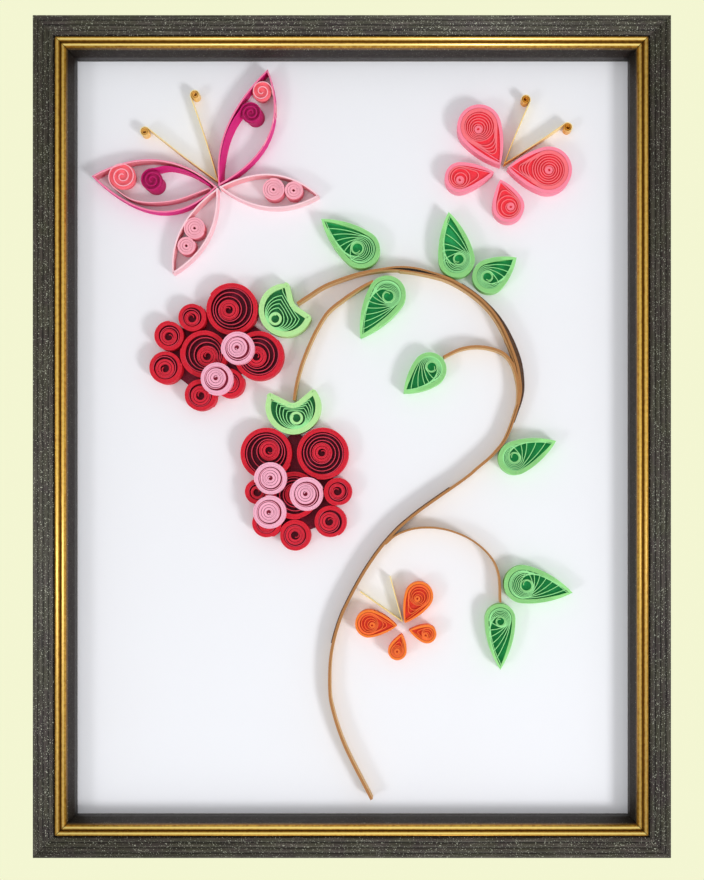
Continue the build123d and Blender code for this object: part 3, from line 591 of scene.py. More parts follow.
def moulding_paint(name, charcoal, gilt, gilt_dark):
    """Charcoal wood with pale flecks, two gilt beads with painted highlight and shade, and a bare
    back.
    """
    settings = bpy.context.scene.quilled_moulding
    gilt_start, gilt_end = settings.gilt_start / MILLI, settings.gilt_end / MILLI
    r = Recipe(name, roughness=0.45, specular=0.4)
    front = (r.backward() * -1).step(-0.3, 0.0)
    bare = r.backward().step(0.55, 0.9)
    from_side = half_width - abs(r.x)
    from_end = half_height - abs(r.z - frame_middle_up)
    across = from_side.least(from_end)
    on_end = (from_side - from_end).step(-0.1, 0.1)

    def along(low, high, depth, detail):
        """Grain that runs along each rail, with its scales along it, across it and in depth."""
        on_side, on_top = (r.noise(1.0, detail, 0.6, scales)
                           for scales in ((high, depth, low), (low, depth, high)))
        return on_side * (1 - on_end) + on_top * on_end

    reed = (across * (math.pi / (settings.reed_width / MILLI))).wave()
    # Painted shade in the furrows between the reeds
    furrow_shade = abs(reed).step(0.5, 0.08) * across.step(gilt_start, gilt_start - 0.4)
    streak = along(0.10, 2.2, 1.0, 3.0)
    fleck = r.noise(3.2, 0.0).step(0.71, 0.76)
    dark = r.mix(r.noise(0.12, 3.0, 0.6).step(0.35, 0.65), charcoal, (0.24, 0.235, 0.185))
    gilded = (across.step(gilt_start - 0.12, gilt_start + 0.12)
              * across.step(gilt_end + 0.1, gilt_end - 0.1) * front)
    worn = r.noise(0.9, 4.0, 0.65)
    gold = r.mix(worn.step(0.3, 0.65), gilt_dark, gilt)
    valley = across - (gilt_start + gilt_end) / 2
    crown = abs(abs(valley) - (gilt_end - gilt_start) / 4)
    brown = (0.36, 0.20, 0.07)
    # Pale grain streaks, stronger on the top and bottom rails as painted light; dark grain; painted
    # shade in the furrows; pale flecks; the dark lip
    for share, colour in (
            (streak.step(0.45, 0.7) * (on_end * 0.2 + 0.45), (0.38, 0.35, 0.33)),
            (streak.step(0.5, 0.3) * 0.75, (0.10, 0.07, 0.09)),
            (furrow_shade * 0.85, (0.05, 0.035, 0.05)),
            (fleck * (front * 0.8 + 0.1), (0.76, 0.77, 0.70)),
            (across.step(gilt_end, gilt_end + 0.3) * 0.85, (0.105, 0.065, 0.058))):
        dark = r.mix(share, dark, colour)
    # Painted highlight along each bead's crown, stronger on the top and bottom rails; painted shade
    # in the groove between the beads and along both edges of the gilding
    for share, colour in (
            (crown.step(0.42, 0.12) * (on_end * 0.6 + 0.4), (1.0, 0.90, 0.58)),
            (abs(valley).step(0.55, 0.12) * 0.85, (0.38, 0.22, 0.03)),
            (across.step(gilt_start + 0.45, gilt_start) * 0.7, brown),
            (across.step(gilt_end - 0.22, gilt_end) * 0.5, brown)):
        gold = r.mix(share, gold, colour)
    colour = r.mix(gilded, dark, gold)
    joint = abs(from_side - from_end).step(0.22, 0.06)
    colour = r.mix(joint * (gilded * 0.5 + 0.3), colour, (0.06, 0.04, 0.04))
    pine = r.mix(along(0.05, 1.1, 1.1, 4.0).step(0.4, 0.62), (0.80, 0.66, 0.46), (0.66, 0.48, 0.28))
    colour = r.mix(bare, colour, pine)
    r.bump(streak * 0.5 + worn * 0.5, 0.25, 0.1)
    return r.paint(colour=colour, metal=gilded * 0.6 * (1 - bare),
                   roughness=0.5 - gilded * 0.16 + worn.step(0.3, 0.8) * 0.12 + bare * 0.3)


def card_stock(name, white):
    """Matt white card with a soft tooth."""
    r = Recipe(name, roughness=0.85, specular=0.2)
    colour = r.mix(r.noise(0.02, 2.0).step(0.35, 0.7) * 0.35, white, (0.945, 0.945, 0.965))
    edge = abs(r.backward()).step(0.6, 0.3)
    r.bump(r.noise(3.0, 3.0, 0.6), 0.12, 0.05)
    return r.paint(colour=r.mix(edge * 0.5, colour, (0.82, 0.80, 0.76)))


def brown_board(name, tint):
    """Grey-brown pressed board with long fibres."""
    r = Recipe(name, roughness=0.9, specular=0.15)
    fibre = r.noise(1.0, 5.0, 0.7, (0.6, 1.0, 3.0))
    fleck = r.noise(2.4, 2.0, 0.5).step(0.62, 0.7)
    colour = r.mix(fibre.step(0.35, 0.65), tint, tuple(c * 0.78 for c in tint))
    r.bump(fibre, 0.4, 0.12)
    return r.paint(colour=r.mix(fleck * 0.4, colour, (0.35, 0.26, 0.18)))


def plated_metal(name, bright, dull, rough):
    """Pressed steel with a thin plating, dull in places."""
    r = Recipe(name, rough, specular=0.5)
    cloud = r.noise(0.8, 4.0, 0.6)
    r.bump(r.noise(1.0, 3.0, 0.6, (0.4, 3.0, 6.0)), 0.2, 0.03)
    return r.paint(colour=r.mix(cloud.step(0.4, 0.7) * 0.6, bright, dull), metal=1.0,
                   roughness=cloud * 0.3 + rough - 0.12)


# Sizes and colours that a user would change

def size_value(name, text, value, high):
    """A length that the user may change, given in millimetres."""
    return FloatProperty(name=name, description=text, default=value * MILLI, min=0.0,
                         max=high * MILLI, precision=5, unit="LENGTH")


def colour_value(name, text, value):
    """A colour that the user may change, as it looks."""
    return FloatVectorProperty(name=name, description=text, default=value, size=3, min=0.0,
                               max=1.0, subtype="COLOR_GAMMA")


class QuilledPaperSettings(bpy.types.PropertyGroup):
    """Paper and how it is wound."""

    paper: size_value("Paper", "Thickness of a strip of paper", 0.25, 1.0)
    pitch: size_value("Pitch", "Distance from one tight turn to the next", 0.27, 1.5)
    berry_rim: size_value("Berry rim", "Width of the tight rim of a large berry roll", 1.5, 4.0)
    small_rim: size_value("Small rim", "Width of the tight rim of a small roll", 1.35, 4.0)
    leaf_rim: size_value("Leaf rim", "Width of the tight rim of a leaf", 1.4, 4.0)
    red: colour_value("Raspberry", "Paper of the berry rolls", (0.85, 0.05, 0.17))
    pink: colour_value("Pink", "Paper of the rolls on top of the berries", (0.99, 0.71, 0.81))
    green: colour_value("Leaf green", "Paper of the leaves", (0.60, 0.89, 0.55))
    calyx: colour_value("Calyx green", "Paper of the caps", (0.73, 0.93, 0.62))
    magenta: colour_value("Magenta", "Outer paper of the two large wings", (0.89, 0.05, 0.52))
    rose: colour_value("Rose", "Paper of the curls in the open wings", (0.98, 0.60, 0.68))
    coral: colour_value("Coral", "Paper of the second butterfly", (0.98, 0.36, 0.42))
    orange: colour_value("Orange", "Paper of the third butterfly", (0.97, 0.45, 0.13))
    stem: colour_value("Stem", "Paper of the stems", (0.82, 0.66, 0.45))


class QuilledMouldingSettings(bpy.types.PropertyGroup):
    """The frame's finish."""

    reed_width: size_value("Reed width", "Width of one reed of the moulding", 1.7, 5.0)
    gilt_start: size_value("Gilt starts", "Start of the gilding, from the outer edge", 7.25, 20.0)
    gilt_end: size_value("Gilt ends", "End of the gilding, from the outer edge", 10.81, 20.0)
    charcoal: colour_value("Charcoal", "Paint on the wood", (0.215, 0.18, 0.185))
    gilt: colour_value("Gilt", "Bright gilding", (0.82, 0.63, 0.24))
    gilt_dark: colour_value("Worn gilt", "Gilding where it is worn", (0.66, 0.44, 0.12))


class QuilledStageSettings(bpy.types.PropertyGroup):
    """Camera, lamps and floor."""

    distance: size_value("Camera distance", "From the camera to the paper's edges", 430, 5000)
    view_height: size_value("View height", "Height in view at the paper", 270.77, 2000)
    lamp_watts: FloatProperty(name="Lamp power", description="Power of a lamp of usual strength",
                              default=4.9, min=0.0, max=100.0, unit="POWER")
    sky: FloatProperty(name="Room light", description="Strength of the even light of the room",
                       default=0.57, min=0.0, max=5.0)
    backdrop: colour_value("Backdrop", "Pale colour behind the picture", (0.955, 0.965, 0.825))


# Rolls: centre, radius, how far the eye lies from the centre, loose turns where they are many,
# the angle that the paper starts at, and which way it winds
big_rolls = {
    "berry_one_crown": ((-37.5, 39.4), 8.05, (-0.9, -0.3), 2.9, 40, 1),
    "berry_one_west": ((-46.08, 25.66), 7.35, (1.0, -0.8), 2.7, 200, -1),
    "berry_one_east": ((-29.27, 25.15), 7.7, (-0.7, -0.4), 2.8, -30, 1),
    "berry_two_west": ((-26.9, -5.0), 8.05, (0.9, 0.9), 2.9, 230, 1),
    "berry_two_east": ((-9.6, -5.0), 8.05, (-0.2, 0.15), 3.2, 110, -1),
    "berry_two_middle": ((-18.25, -17.92), 7.4, (0.2, 0.3), 2.7, 250, 1)}
small_rolls = {
    "berry_one_shoulder": ((-49.74, 36.88), 4.35, (-0.1, -0.5), 20, 1),
    "berry_one_flank": ((-56.79, 31.2), 4.6, (-0.2, -0.5), 80, -1),
    "berry_one_hip": ((-57.91, 21.46), 5.1, (-0.2, -0.6), 140, 1),
    "berry_one_foot": ((-47.2, 12.91), 4.95, (0.1, -0.3), 200, -1),
    "berry_one_heel": ((-38.31, 16.66), 4.6, (0.2, -0.5), 30, 1),
    "berry_two_shoulder": ((-4.82, -16.82), 4.4, (-0.3, 0.2), 60, 1),
    "berry_two_flank": ((-7.2, -26.02), 5.0, (-0.5, 0.0), 130, -1),
    "berry_two_foot": ((-18.03, -30.27), 4.85, (0.0, 0.1), 270, 1),
    "berry_two_heel": ((-26.8, -26.48), 4.6, (0.0, -0.5), 310, -1),
    "berry_two_hip": ((-29.64, -16.78), 3.95, (-0.1, -0.3), 10, 1)}
top_rolls = {
    "berry_one_top_a": ((-35.3, 27.0), 5.15, (-0.4, 0.4), 200, 1),
    "berry_one_top_b": ((-41.78, 17.74), 5.05, (-0.4, 0.3), 150, -1),
    "berry_two_top_a": ((-25.3, -12.8), 5.05, (-0.1, 0.2), 100, 1),
    "berry_two_top_b": ((-14.3, -17.58), 5.25, (-0.5, 0.2), 170, -1),
    "berry_two_top_c": ((-25.66, -23.09), 5.15, (-0.2, 0.0), 220, 1)}
# Dark floor of painted shade between the rolls of a berry, laid with its middle roll
berry_shade_floors = {
    "berry_one_west": [(-37.5, 39.4), (-28.8, 33.2), (-29.27, 25.15), (-38.31, 16.66),
        (-47.2, 12.91), (-57.91, 21.46), (-56.79, 31.2), (-49.74, 36.88)],
    "berry_two_middle": [(-26.9, -5.0), (-18.2, 2.2), (-9.6, -5.0), (-4.82, -16.82),
        (-7.2, -26.02), (-18.03, -30.27), (-26.8, -26.48), (-29.64, -16.78)]}
# Leaves and closed wings: tip, bulb, its radius, eye, turns, and the side that they start from
leaves = {
    "leaf_north": ((-10.1, 67.3), (2.3, 57.9), 6.0, (1.1, 58.1), 6, 1),
    "leaf_crest": ((29.3, 69.5), (31.8, 54.7), 5.7, (32.4, 54.8), 5, 1),
    "leaf_bend": ((50.2, 55.4), (41.8, 49.6), 5.4, (41.2, 49.3), 4, -1),
    "leaf_under": ((2.0, 30.5), (10.3, 43.9), 5.95, (10.7, 43.3), 7, -1),
    "leaf_middle": ((15.2, 13.6), (23.3, 20.9), 5.4, (24.0, 21.6), 5, 1),
    "leaf_east": ((62.5, -1.2), (49.8, -6.5), 5.4, (49.5, -6.3), 5, 1),
    "leaf_tip": ((67.5, -48.0), (52.1, -45.4), 6.0, (53.6, -45.8), 7, 1),
    "leaf_foot": ((45.2, -71.8), (45.2, -56.0), 4.8, (45.2, -57.8), 6, -1)}
coral_wings = {
    "upper_left": ((45.3, 83.7), (38.7, 95.6), 6.9, (38.4, 94.7), 7, -1),
    "upper_right": ((47.3, 83.0), (60.0, 82.3), 7.3, (60.1, 82.2), 7, 1),
    "lower_left": ((43.3, 81.5), (32.7, 79.9), 4.75, (32.7, 79.1), 4, 1),
    "lower_right": ((45.0, 79.3), (47.6, 71.0), 5.0, (48.3, 70.9), 4, -1)}
orange_wings = {
    "upper_left": ((13.4, -58.2), (4.7, -57.5), 4.4, (5.7, -57.9), 5, 1),
    "upper_right": ((15.6, -57.3), (20.1, -48.9), 4.5, (19.6, -49.8), 5, 1),
    "lower_left": ((14.8, -60.6), (13.4, -65.8), 3.0, (13.4, -66.0), 4, -1),
    "lower_right": ((17.0, -59.4), (22.6, -60.6), 3.0, (22.1, -61.1), 4, 1)}
# Caps: centre, radius, angle and reach of each horn, depth of the notch, and eye
calyxes = {
    "calyx_one": ((-21.05, 39.0), 8.3, (89, 8.6), (-19, 8.4), 5.0, (-24.2, 36.4)),
    "calyx_two": ((-18.25, 9.13), 8.42, (156, 9.25), (38, 8.5), 7.4, (-17.6, 5.8))}
# Places along each stem
stems = {
    "main_stem": [(5.5, -111.6), (-2.7, -95.3), (-6.7, -83.3), (-7.5, -75.9), (-7.0, -66.6),
        (-4.7, -57.4), (-1.6, -50.2), (4.0, -40.2), (10.7, -31.2), (18.7, -23.8), (34.0, -12.9),
        (38.2, -9.4), (41.8, -6.4), (43.8, -4.3), (45.9, -1.8), (47.8, 1.9), (49.8, 7.7),
        (51.1, 12.5), (51.2, 17.0), (49.7, 24.4), (45.1, 35.1), (39.1, 42.4), (30.4, 48.2),
        (22.4, 50.7), (14.2, 51.9), (7.5, 51.4), (0.2, 49.9), (-8.4, 46.8), (-13.5, 43.7),
        (-17.4, 41.1)],
    "berry_branch": [(6.0, 48.0), (1.8, 45.8), (-3.0, 42.6), (-7.9, 38.6), (-11.2, 33.5),
        (-13.7, 28.4), (-15.9, 22.8), (-17.5, 17.0), (-18.4, 11.4)],
    "leaf_branch": [(50.6, 10.0), (50.7, 15.5), (49.3, 21.6), (46.8, 25.3), (43.2, 27.1),
        (38.1, 27.9), (32.8, 27.1), (27.7, 24.7)],
    "fork_branch": [(9.7, -33.0), (13.6, -29.9), (20.0, -28.0), (28.0, -28.4), (36.0, -31.5),
        (42.0, -36.6), (44.7, -42.4), (45.2, -50.9)]}
# Open wings: angle from where they meet, tip, and how far and where each side bulges
meeting = (-41.7, 77.0)
open_wings = {
    "upper": (67, (-26.4, 113.3), 4.8, 0.42, 8.5, 0.54),
    "left": (175, (-80.7, 80.3), 9.4, 0.4, 6.8, 0.48),
    "right": (-5, (-10.5, 74.3), 5.4, 0.54, 5.15, 0.52),
    "lower": (-118, (-55.8, 50.2), 4.55, 0.5, 4.25, 0.57)}
# Curls in the open wings: tail, middle, radius, start angle, which way it winds
tail_curls = {
    "upper": [([(-41.35, 78.6), (-40.95, 85.1), (-39.6, 91.7), (-37.5, 96.7)],
               (-31.6, 99.8), 3.6, 165, -1),
              ([(-27.7, 89.6), (-25.0, 96.0), (-24.2, 102.0)], (-28.3, 106.4), 3.5, -5, 1)],
    "left": [([(-44.4, 77.6), (-47.3, 79.6), (-51.9, 82.0), (-57.5, 83.3)],
              (-62.1, 79.1), 3.8, 80, 1),
             ([(-44.5, 76.6), (-54.2, 73.1), (-61.3, 72.2), (-66.5, 72.6), (-70.0, 74.0)],
               (-71.2, 80.3), 4.6, -125, -1)]}
# Tight curls: middle and radius
tight_curls = {
    "right": [((-24.7, 76.3), 3.5), ((-18.5, 76.0), 2.95)],
    "lower": [((-48.99, 64.38), 3.4), ((-51.52, 58.96), 2.9)]}
# Feelers: fork, ends, and the radius of their curls
feelers = {
    "butterfly_one_feelers": ((-41.9, 78.9), [(-64.5, 94.3), (-49.0, 105.7)], 1.6),
    "butterfly_two_feelers": ((46.4, 84.4), [(53.0, 104.2), (66.0, 95.6)], 1.6),
    "butterfly_three_feelers": ((15.0, -56.9), [(2.0, -47.7), (11.2, -43.0)], 0.0)}


def size_of(name):
    """One of the paper's sizes, in millimetres."""
    return getattr(bpy.context.scene.quilled_paper, name) / MILLI


def colour_of(name):
    """The colour of one of the papers."""
    return tuple(getattr(bpy.context.scene.quilled_paper, name))


def green_paper(name, colour, deep):
    return quilling_paper(name, colour, colour, (0.25, 0.78, 0.40), (0.60, 0.92, 0.60), deep, 0.75)


class QUILL_OT_berries(bpy.types.Operator):
    """Wind the rolls of both raspberries"""

    bl_idname = "quill.berries"
    bl_label = "Raspberries"

    def execute(self, context):
        pitch, paper, small_rim = (size_of(name) for name in ("pitch", "paper", "small_rim"))
        red, pink = colour_of("red"), colour_of("pink")
        red = quilling_paper("raspberry paper", red, red, (0.62, 0.05, 0.16), (0.84, 0.20, 0.30),
                             (0.36, 0.04, 0.20), 0.7)
        for node, (centre, radius, lean, loose, start, sense) in big_rolls.items():
            eye = (centre[0] + lean[0], centre[1] + lean[1])
            core, hole = 3.1, 1.2
            roll = roll_path(centre, radius, size_of("berry_rim"), eye, core, hole, loose, pitch,
                             math.radians(start), sense, bunch=0.09)
            wind(node, roll, red, paper, sunk=2.6)
        pink = quilling_paper("pink paper", pink, pink, (0.90, 0.30, 0.46), (0.97, 0.62, 0.72),
                              (0.50, 0.02, 0.17), 0.8)
        for rolls, material, hole, sunk in ((small_rolls, red, 1.3, 2.2),
                                            (top_rolls, pink, 0.75, 1.0)):
            for node, (centre, radius, lean, start, sense) in rolls.items():
                eye = (centre[0] + lean[0] * 0.6, centre[1] + lean[1] * 0.6)
                core = radius - small_rim - 0.5 - math.hypot(*lean) * 0.5
                loose = 0.8
                roll = roll_path(centre, radius, small_rim, eye, core, hole, loose, pitch,
                                 math.radians(start), sense, bunch=0.08)
                wind(node, roll, material, paper, sunk)
        return {"FINISHED"}


def horn_points(centre, horn, turns):
    """Points round the blunt end of a horn, whose angle and reach are from the centre."""
    blunt = 1.3
    angle, reach = horn
    middle = polar(centre, reach - blunt, math.radians(angle))
    return [polar(middle, blunt, math.radians(angle + turn)) for turn in turns]


def rounded(before, here, after, reach):
    """Points round a corner that is cut back by up to a reach."""
    start, end = (between(here, there, min(reach / span(here, there), 0.5))
                  for there in (before, after))
    return bend(start, here, end, 5)


def base_points(right, base, left, steps):
    """Points from the right horn round the base to the left horn."""
    ax, az, bx, bz, cx, cz = *right, *base, *left
    scale = 2 * (ax * (bz - cz) + bx * (cz - az) + cx * (az - bz))
    a2, b2, c2 = ax ** 2 + az ** 2, bx ** 2 + bz ** 2, cx ** 2 + cz ** 2
    middle = ((a2 * (bz - cz) + b2 * (cz - az) + c2 * (az - bz)) / scale,
              (a2 * (cx - bx) + b2 * (ax - cx) + c2 * (bx - ax)) / scale)
    start = bearing(middle, right)
    sweep = (start - bearing(middle, left)) % TAU
    radius = span(middle, right)
    return [polar(middle, radius, start - sweep * step / steps) for step in range(steps + 1)]


def even(points, spacing):
    """The same closed outline with its points about a spacing apart."""
    out = []
    for a, b in zip(points, points[1:] + points[:1]):
        count = max(1, round(span(a, b) / spacing))
        out += [between(a, b, step / count) for step in range(count)]
    return out


def calyx_path(centre, radius, left_horn, right_horn, depth, eye, pitch):
    """A cap: a tight rim pinched to two horns, turns that fold into both, and a core."""
    up = math.radians((left_horn[0] + right_horn[0]) / 2)
    notch = polar(centre, radius - depth, up)
    base = polar(centre, -radius, up)
    left = horn_points(centre, left_horn, (15, -5, -25, -45, -60))
    right = horn_points(centre, right_horn, (60, 45, 25, 5, -15))
    outline = even(left + rounded(left[-1], notch, right[0], 1.6) + right
                   + base_points(right[-1], base, left[0], 40)[1:-1], 0.7)
    rim_turns, loops, core = 6, 5, 2.0
    path, shades, inner = wrap_outline(outline, -1, rim_turns, pitch)
    rim = rim_turns * pitch + 0.15
    horn_rim = rim * 1.75
    left_tip, right_tip = (polar(centre, reach, math.radians(angle))
                           for angle, reach in (left_horn, right_horn))

    def corner(place, inside, share):
        """A corner of a turn: inside the rim at first, and on the core at the end."""
        outer = span(eye, place) - inside
        return polar(eye, outer + (core + 0.1 - outer) * share, bearing(eye, place))

    for turn in range(loops):
        first, later = (turn / loops) ** 1.1, ((turn + 1) / loops) ** 1.1
        halfway = (first + later) / 2
        horn_here = corner(left_tip, horn_rim, first)
        horn_far = corner(right_tip, horn_rim, halfway)
        horn_next = corner(left_tip, horn_rim, later)
        sag = polar(corner(notch, rim, 0.9 * first), 0.3, up)
        floor = corner(base, rim, 0.9 * halfway)
        leg = (bend(horn_here, sag, horn_far, 12)
               + base_points(horn_far, floor, horn_next, 18)[1:])
        path += leg
        shades += [DEEP] * len(leg)
    hole, heart_turns, heart_shade = 1.25, 3, 0.6
    heart = winding(eye, eye, core, hole, bearing(eye, left_tip), -heart_turns * TAU)
    return path + heart, shades + [heart_shade] * len(heart), inner


class QUILL_OT_calyxes(bpy.types.Operator):
    """Wind the green cap of each raspberry, pinched to two horns"""

    bl_idname = "quill.calyxes"
    bl_label = "Calyxes"

    def execute(self, context):
        green = green_paper("calyx paper", colour_of("calyx"), (0.0, 0.28, 0.20))
        for node, shape in calyxes.items():
            roll = calyx_path(*shape, size_of("pitch"))
            wind(node, roll, green, size_of("paper"), sunk=1.4)
        return {"FINISHED"}


class QUILL_OT_leaves(bpy.types.Operator):
    """Wind the eight leaves, pinched to one tip"""

    bl_idname = "quill.leaves"
    bl_label = "Leaves"

    def execute(self, context):
        green = green_paper("leaf paper", colour_of("green"), (0.02, 0.62, 0.37))
        for node, shape in leaves.items():
            radius, large = shape[2], 6
            roll = leaf_path(*shape, size_of("leaf_rim") * radius / large, size_of("pitch"))
            wind(node, roll, green, paper=0.21, sunk=1.8)
        return {"FINISHED"}


class QUILL_OT_stems(bpy.types.Operator):
    """Bend the stems from strips of brown paper"""

    bl_idname = "quill.stems"
    bl_label = "Stems"

    def execute(self, context):
        # The stem paper's near-black inner and deep colours reach only the floor between the
        # strips: painted shadow
        stem = quilling_paper("stem paper", colour_of("stem"), (0.68, 0.47, 0.27),
                              (0.12, 0.06, 0.05), (0.16, 0.09, 0.07), (0.07, 0.03, 0.03), 0.3)
        # Dark edges and floors of painted shadow along the stem's sides
        wall, crest = (0.68, 0.51, 0.33), (0.24, 0.13, 0.10)
        shadow_paper = quilling_paper("umber paper", wall, crest, wall, crest, (0.22, 0.12, 0.09), 0.9)
        arch_top, low_bend = (18.5, 51.5), (49, 5)
        for node, points in stems.items():
            route = smooth(points, 1.0)
            sheaf = Sheaf(node)
            if node == "main_stem":
                # The strips stand furthest apart at the top of the arch and the low bend, where the
                # floor between them is painted shadow
                gap = [0.2 + 0.45 * bump_at(p, arch_top, 11) + 0.08 * bump_at(p, low_bend, 18)
                       for p in route]
                line = [(p, reach, way) for p, reach, (way, _) in zip(route, gap,
                                                                      normals(route, False))]
                outer = [polar(p, -reach - 0.12, way) for p, reach, way in line]
                inner = [polar(p, reach * 0.7 + 0.1, way) for p, reach, way in line]
                sheaf.stand(outer)
                sheaf.stand([polar(p, 0.15 - reach, way) for p, reach, way in line])
                sheaf.stand(inner)
                # A near-black floor between the outer and inner strips: painted shadow in the gap
                sheaf.bed(outer + inner[::-1], sheaf.crest - 0.4)
                sheaf.stand(offset([p for p in route if p[0] > 14 and p[1] > 16], 0.72))
                self.shade(node, "right", -1, shadow_paper,
                           [item for item in line if item[0][0] > 33 and 4 < item[0][1] < 47])
                self.shade(node, "left", 1, shadow_paper,
                           [item for item in line if item[0][0] < 30 and -64 < item[0][1] < -14])
            else:
                for aside in (-0.14, 0.14) if node == "fork_branch" else (-0.27, 0.0, 0.27):
                    sheaf.stand(offset(route, aside))
            sheaf.finish("bent", stem, paper=0.27)
        return {"FINISHED"}

    def shade(self, node, name, side, shadow_paper, line):
        """Stand two darker strips along one side of a part of the stem: painted shadow."""
        wedge = (49, 25)
        near = [polar(p, side * (reach + 0.2), way) for p, reach, way in line]
        far = [polar(p, side * (reach + 0.3 + bump_at(p, wedge, 22)), way)
               for p, reach, way in line]
        sheaf = Sheaf(node, str(side))
        sheaf.stand(far, sunk=0.05)
        sheaf.stand(near, sunk=0.1)
        # On the right side a dark floor of painted shadow lies between the two strips
        if side < 0:
            sheaf.bed(far + near[::-1], sheaf.crest - 0.3)
        sheaf.finish(f"shaded_{name}", shadow_paper, paper=0.3)


def wing_side(root, tip, bulge, at, hand):
    """Points along one side of an open wing."""
    knee = polar(between(root, tip, at), 2 * bulge, bearing(root, tip) + hand * math.pi / 2)
    return bend(root, knee, tip, 16)


class QUILL_OT_open_butterfly(bpy.types.Operator):
    """Bend the open wings of the first butterfly and wind the curls in them"""

    bl_idname = "quill.open_butterfly"
    bl_label = "Open butterfly"

    def execute(self, context):
        pitch, strip, lined = size_of("pitch"), 0.24, 0.35
        paper_end, last_turn = 0.42, 30
        magenta, crest = colour_of("magenta"), (0.97, 0.50, 0.66)
        hot = quilling_paper("magenta paper", magenta, crest, magenta, crest, (0.70, 0.0, 0.36),
                             0.3)
        wine = quilling_paper("wine paper", magenta, (0.88, 0.08, 0.50), (0.80, 0.03, 0.44),
                              (0.74, 0.03, 0.40), (0.55, 0.0, 0.30), 0.5)
        # The rose paper's inner walls and deep colour are a deeper coral: a painted glow of light
        # through the paper
        soft = quilling_paper("rose paper", (1.0, 0.79, 0.83), (1.0, 0.84, 0.88),
                              (1.0, 0.60, 0.62), (1.0, 0.77, 0.82), (0.99, 0.45, 0.46), 0.3)
        salmon = quilling_paper("salmon paper", colour_of("rose"), (1.0, 0.68, 0.75),
                                (0.99, 0.54, 0.59), (1.0, 0.70, 0.76), (0.96, 0.38, 0.44), 0.55)
        for name, (angle, tip, left, left_at, right, right_at) in open_wings.items():
            node = f"butterfly_one_{name}_wing"
            root = polar(meeting, 0.35, math.radians(angle))
            loop = (wing_side(root, tip, right, right_at, -1)
                    + wing_side(root, tip, left, left_at, 1)[-2::-1])
            paper = hot if name in tail_curls else soft
            inside, turned = offset(loop, 0.36), len(loop) // 2
            for half, part, path, shade, material in (
                    ("", "outside", offset(loop, strip / 2), OUTSIDE, paper),
                    ("lower", "lower_lining", inside[:turned + 1], lined,
                     salmon if name == "left" else paper),
                    ("upper", "upper_lining", inside[turned:], lined, paper)):
                sheaf = Sheaf(node, half)
                sheaf.stand(path, shade)
                sheaf.finish(part, material, strip)
            for number, (tail, middle, radius, start, sense) in enumerate(tail_curls.get(name, ())):
                turns = 1.9 if radius == 3.5 else 2.5
                curl = winding(middle, middle, radius - 0.2, 0.5, math.radians(start),
                               sense * turns * TAU)
                path = smooth(tail + [curl[0]], 0.8)[:-1] + curl
                shades = [0.1] * (len(path) - len(curl)) + [0.9] * len(curl)
                roll = Sheaf(node, str(number))
                roll.stand(path, shades, lean=(0.0, 0.0) if number else (0.8, -0.5))
                # A floor of painted shade inside each curl
                roll.bed(ring(middle, radius - 0.6, 28), roll.crest - 1.1)
                roll.finish(f"curl_{number}", salmon if number else wine, paper=0.3)
            for number, (middle, radius) in enumerate(tight_curls.get(name, ())):
                curl = winding(middle, middle, paper_end, radius - pitch / 2, 0.0,
                               (radius - 0.45) / pitch * TAU, bunch=0.06)
                roll = Sheaf(node, str(number))
                roll.stand(curl, [0.5] * (len(curl) - last_turn) + [0.25] * last_turn)
                roll.finish(f"curl_{number}", salmon, size_of("paper"))
        return {"FINISHED"}


class QUILL_OT_closed_butterflies(bpy.types.Operator):
    """Wind the closed wings of the coral and the orange butterfly"""

    bl_idname = "quill.closed_butterflies"
    bl_label = "Closed butterflies"

    def execute(self, context):
        coral = quilling_paper("coral paper", (1.0, 0.56, 0.66), (1.0, 0.54, 0.64),
                               colour_of("coral"), (0.99, 0.45, 0.49), (0.93, 0.08, 0.17), 0.75)
        orange = quilling_paper("orange paper", colour_of("orange"), (0.98, 0.50, 0.16),
                                (0.95, 0.36, 0.12), (0.98, 0.42, 0.17), (0.80, 0.07, 0.05), 0.75)
        # Sizes are the rim's width, the core, its hole, the pitch and how close the bowls lie
        for name, wings, sizes, paper, material in (
                ("two", coral_wings, (1.0, 1.2, 0.4, 0.25, 0.22), 0.27, coral),
                ("three", orange_wings, (0.75, 0.9, 0.35, 0.23, 0.2), 0.22, orange)):
            for corner, shape in wings.items():
                node = f"butterfly_{name}_{corner}_wing"
                wind(node, wing_path(*shape, *sizes), material, paper, sunk=0.6)
        return {"FINISHED"}


class QUILL_OT_feelers(bpy.types.Operator):
    """Bend the butterflies' feelers, with a curl at each end"""

    bl_idname = "quill.feelers"
    bl_label = "Feelers"

    def execute(self, context):
        cream = quilling_paper("cream paper", (1.0, 0.95, 0.74), (0.99, 0.88, 0.58),
                               (0.98, 0.80, 0.46), (0.95, 0.70, 0.32), (0.93, 0.66, 0.26), 0.3)
        amber = quilling_paper("amber paper", (1.0, 0.93, 0.70), (0.99, 0.86, 0.54),
                               (0.94, 0.66, 0.24), (0.88, 0.57, 0.12), (0.85, 0.50, 0.09), 0.4)
        for node, (fork, ends, curl) in feelers.items():
            sheaf = Sheaf(node)
            for end, sense in zip(ends, (1, -1)):
                path, shades = [fork, end], [0.3, 0.0]
                if curl:
                    start = bearing(fork, end) - sense * math.pi / 2
                    wound = winding(end, end, curl - 0.1, 0.4, start, sense * 2.3 * TAU)
                    path = bowed(fork, wound[0], 0.01 * sense, 20)[:-1] + wound
                    shades = [0.9 * (1 - step / 20) ** 1.5 for step in range(20)]
                    shades += [0.2 + 0.8 * ease(min(1.0, 2 * step / len(wound)))
                               for step in range(len(wound))]
                sheaf.stand(path, shades)
            sheaf.finish("bent", amber if "two" in node else cream, paper=0.24)
        return {"FINISHED"}


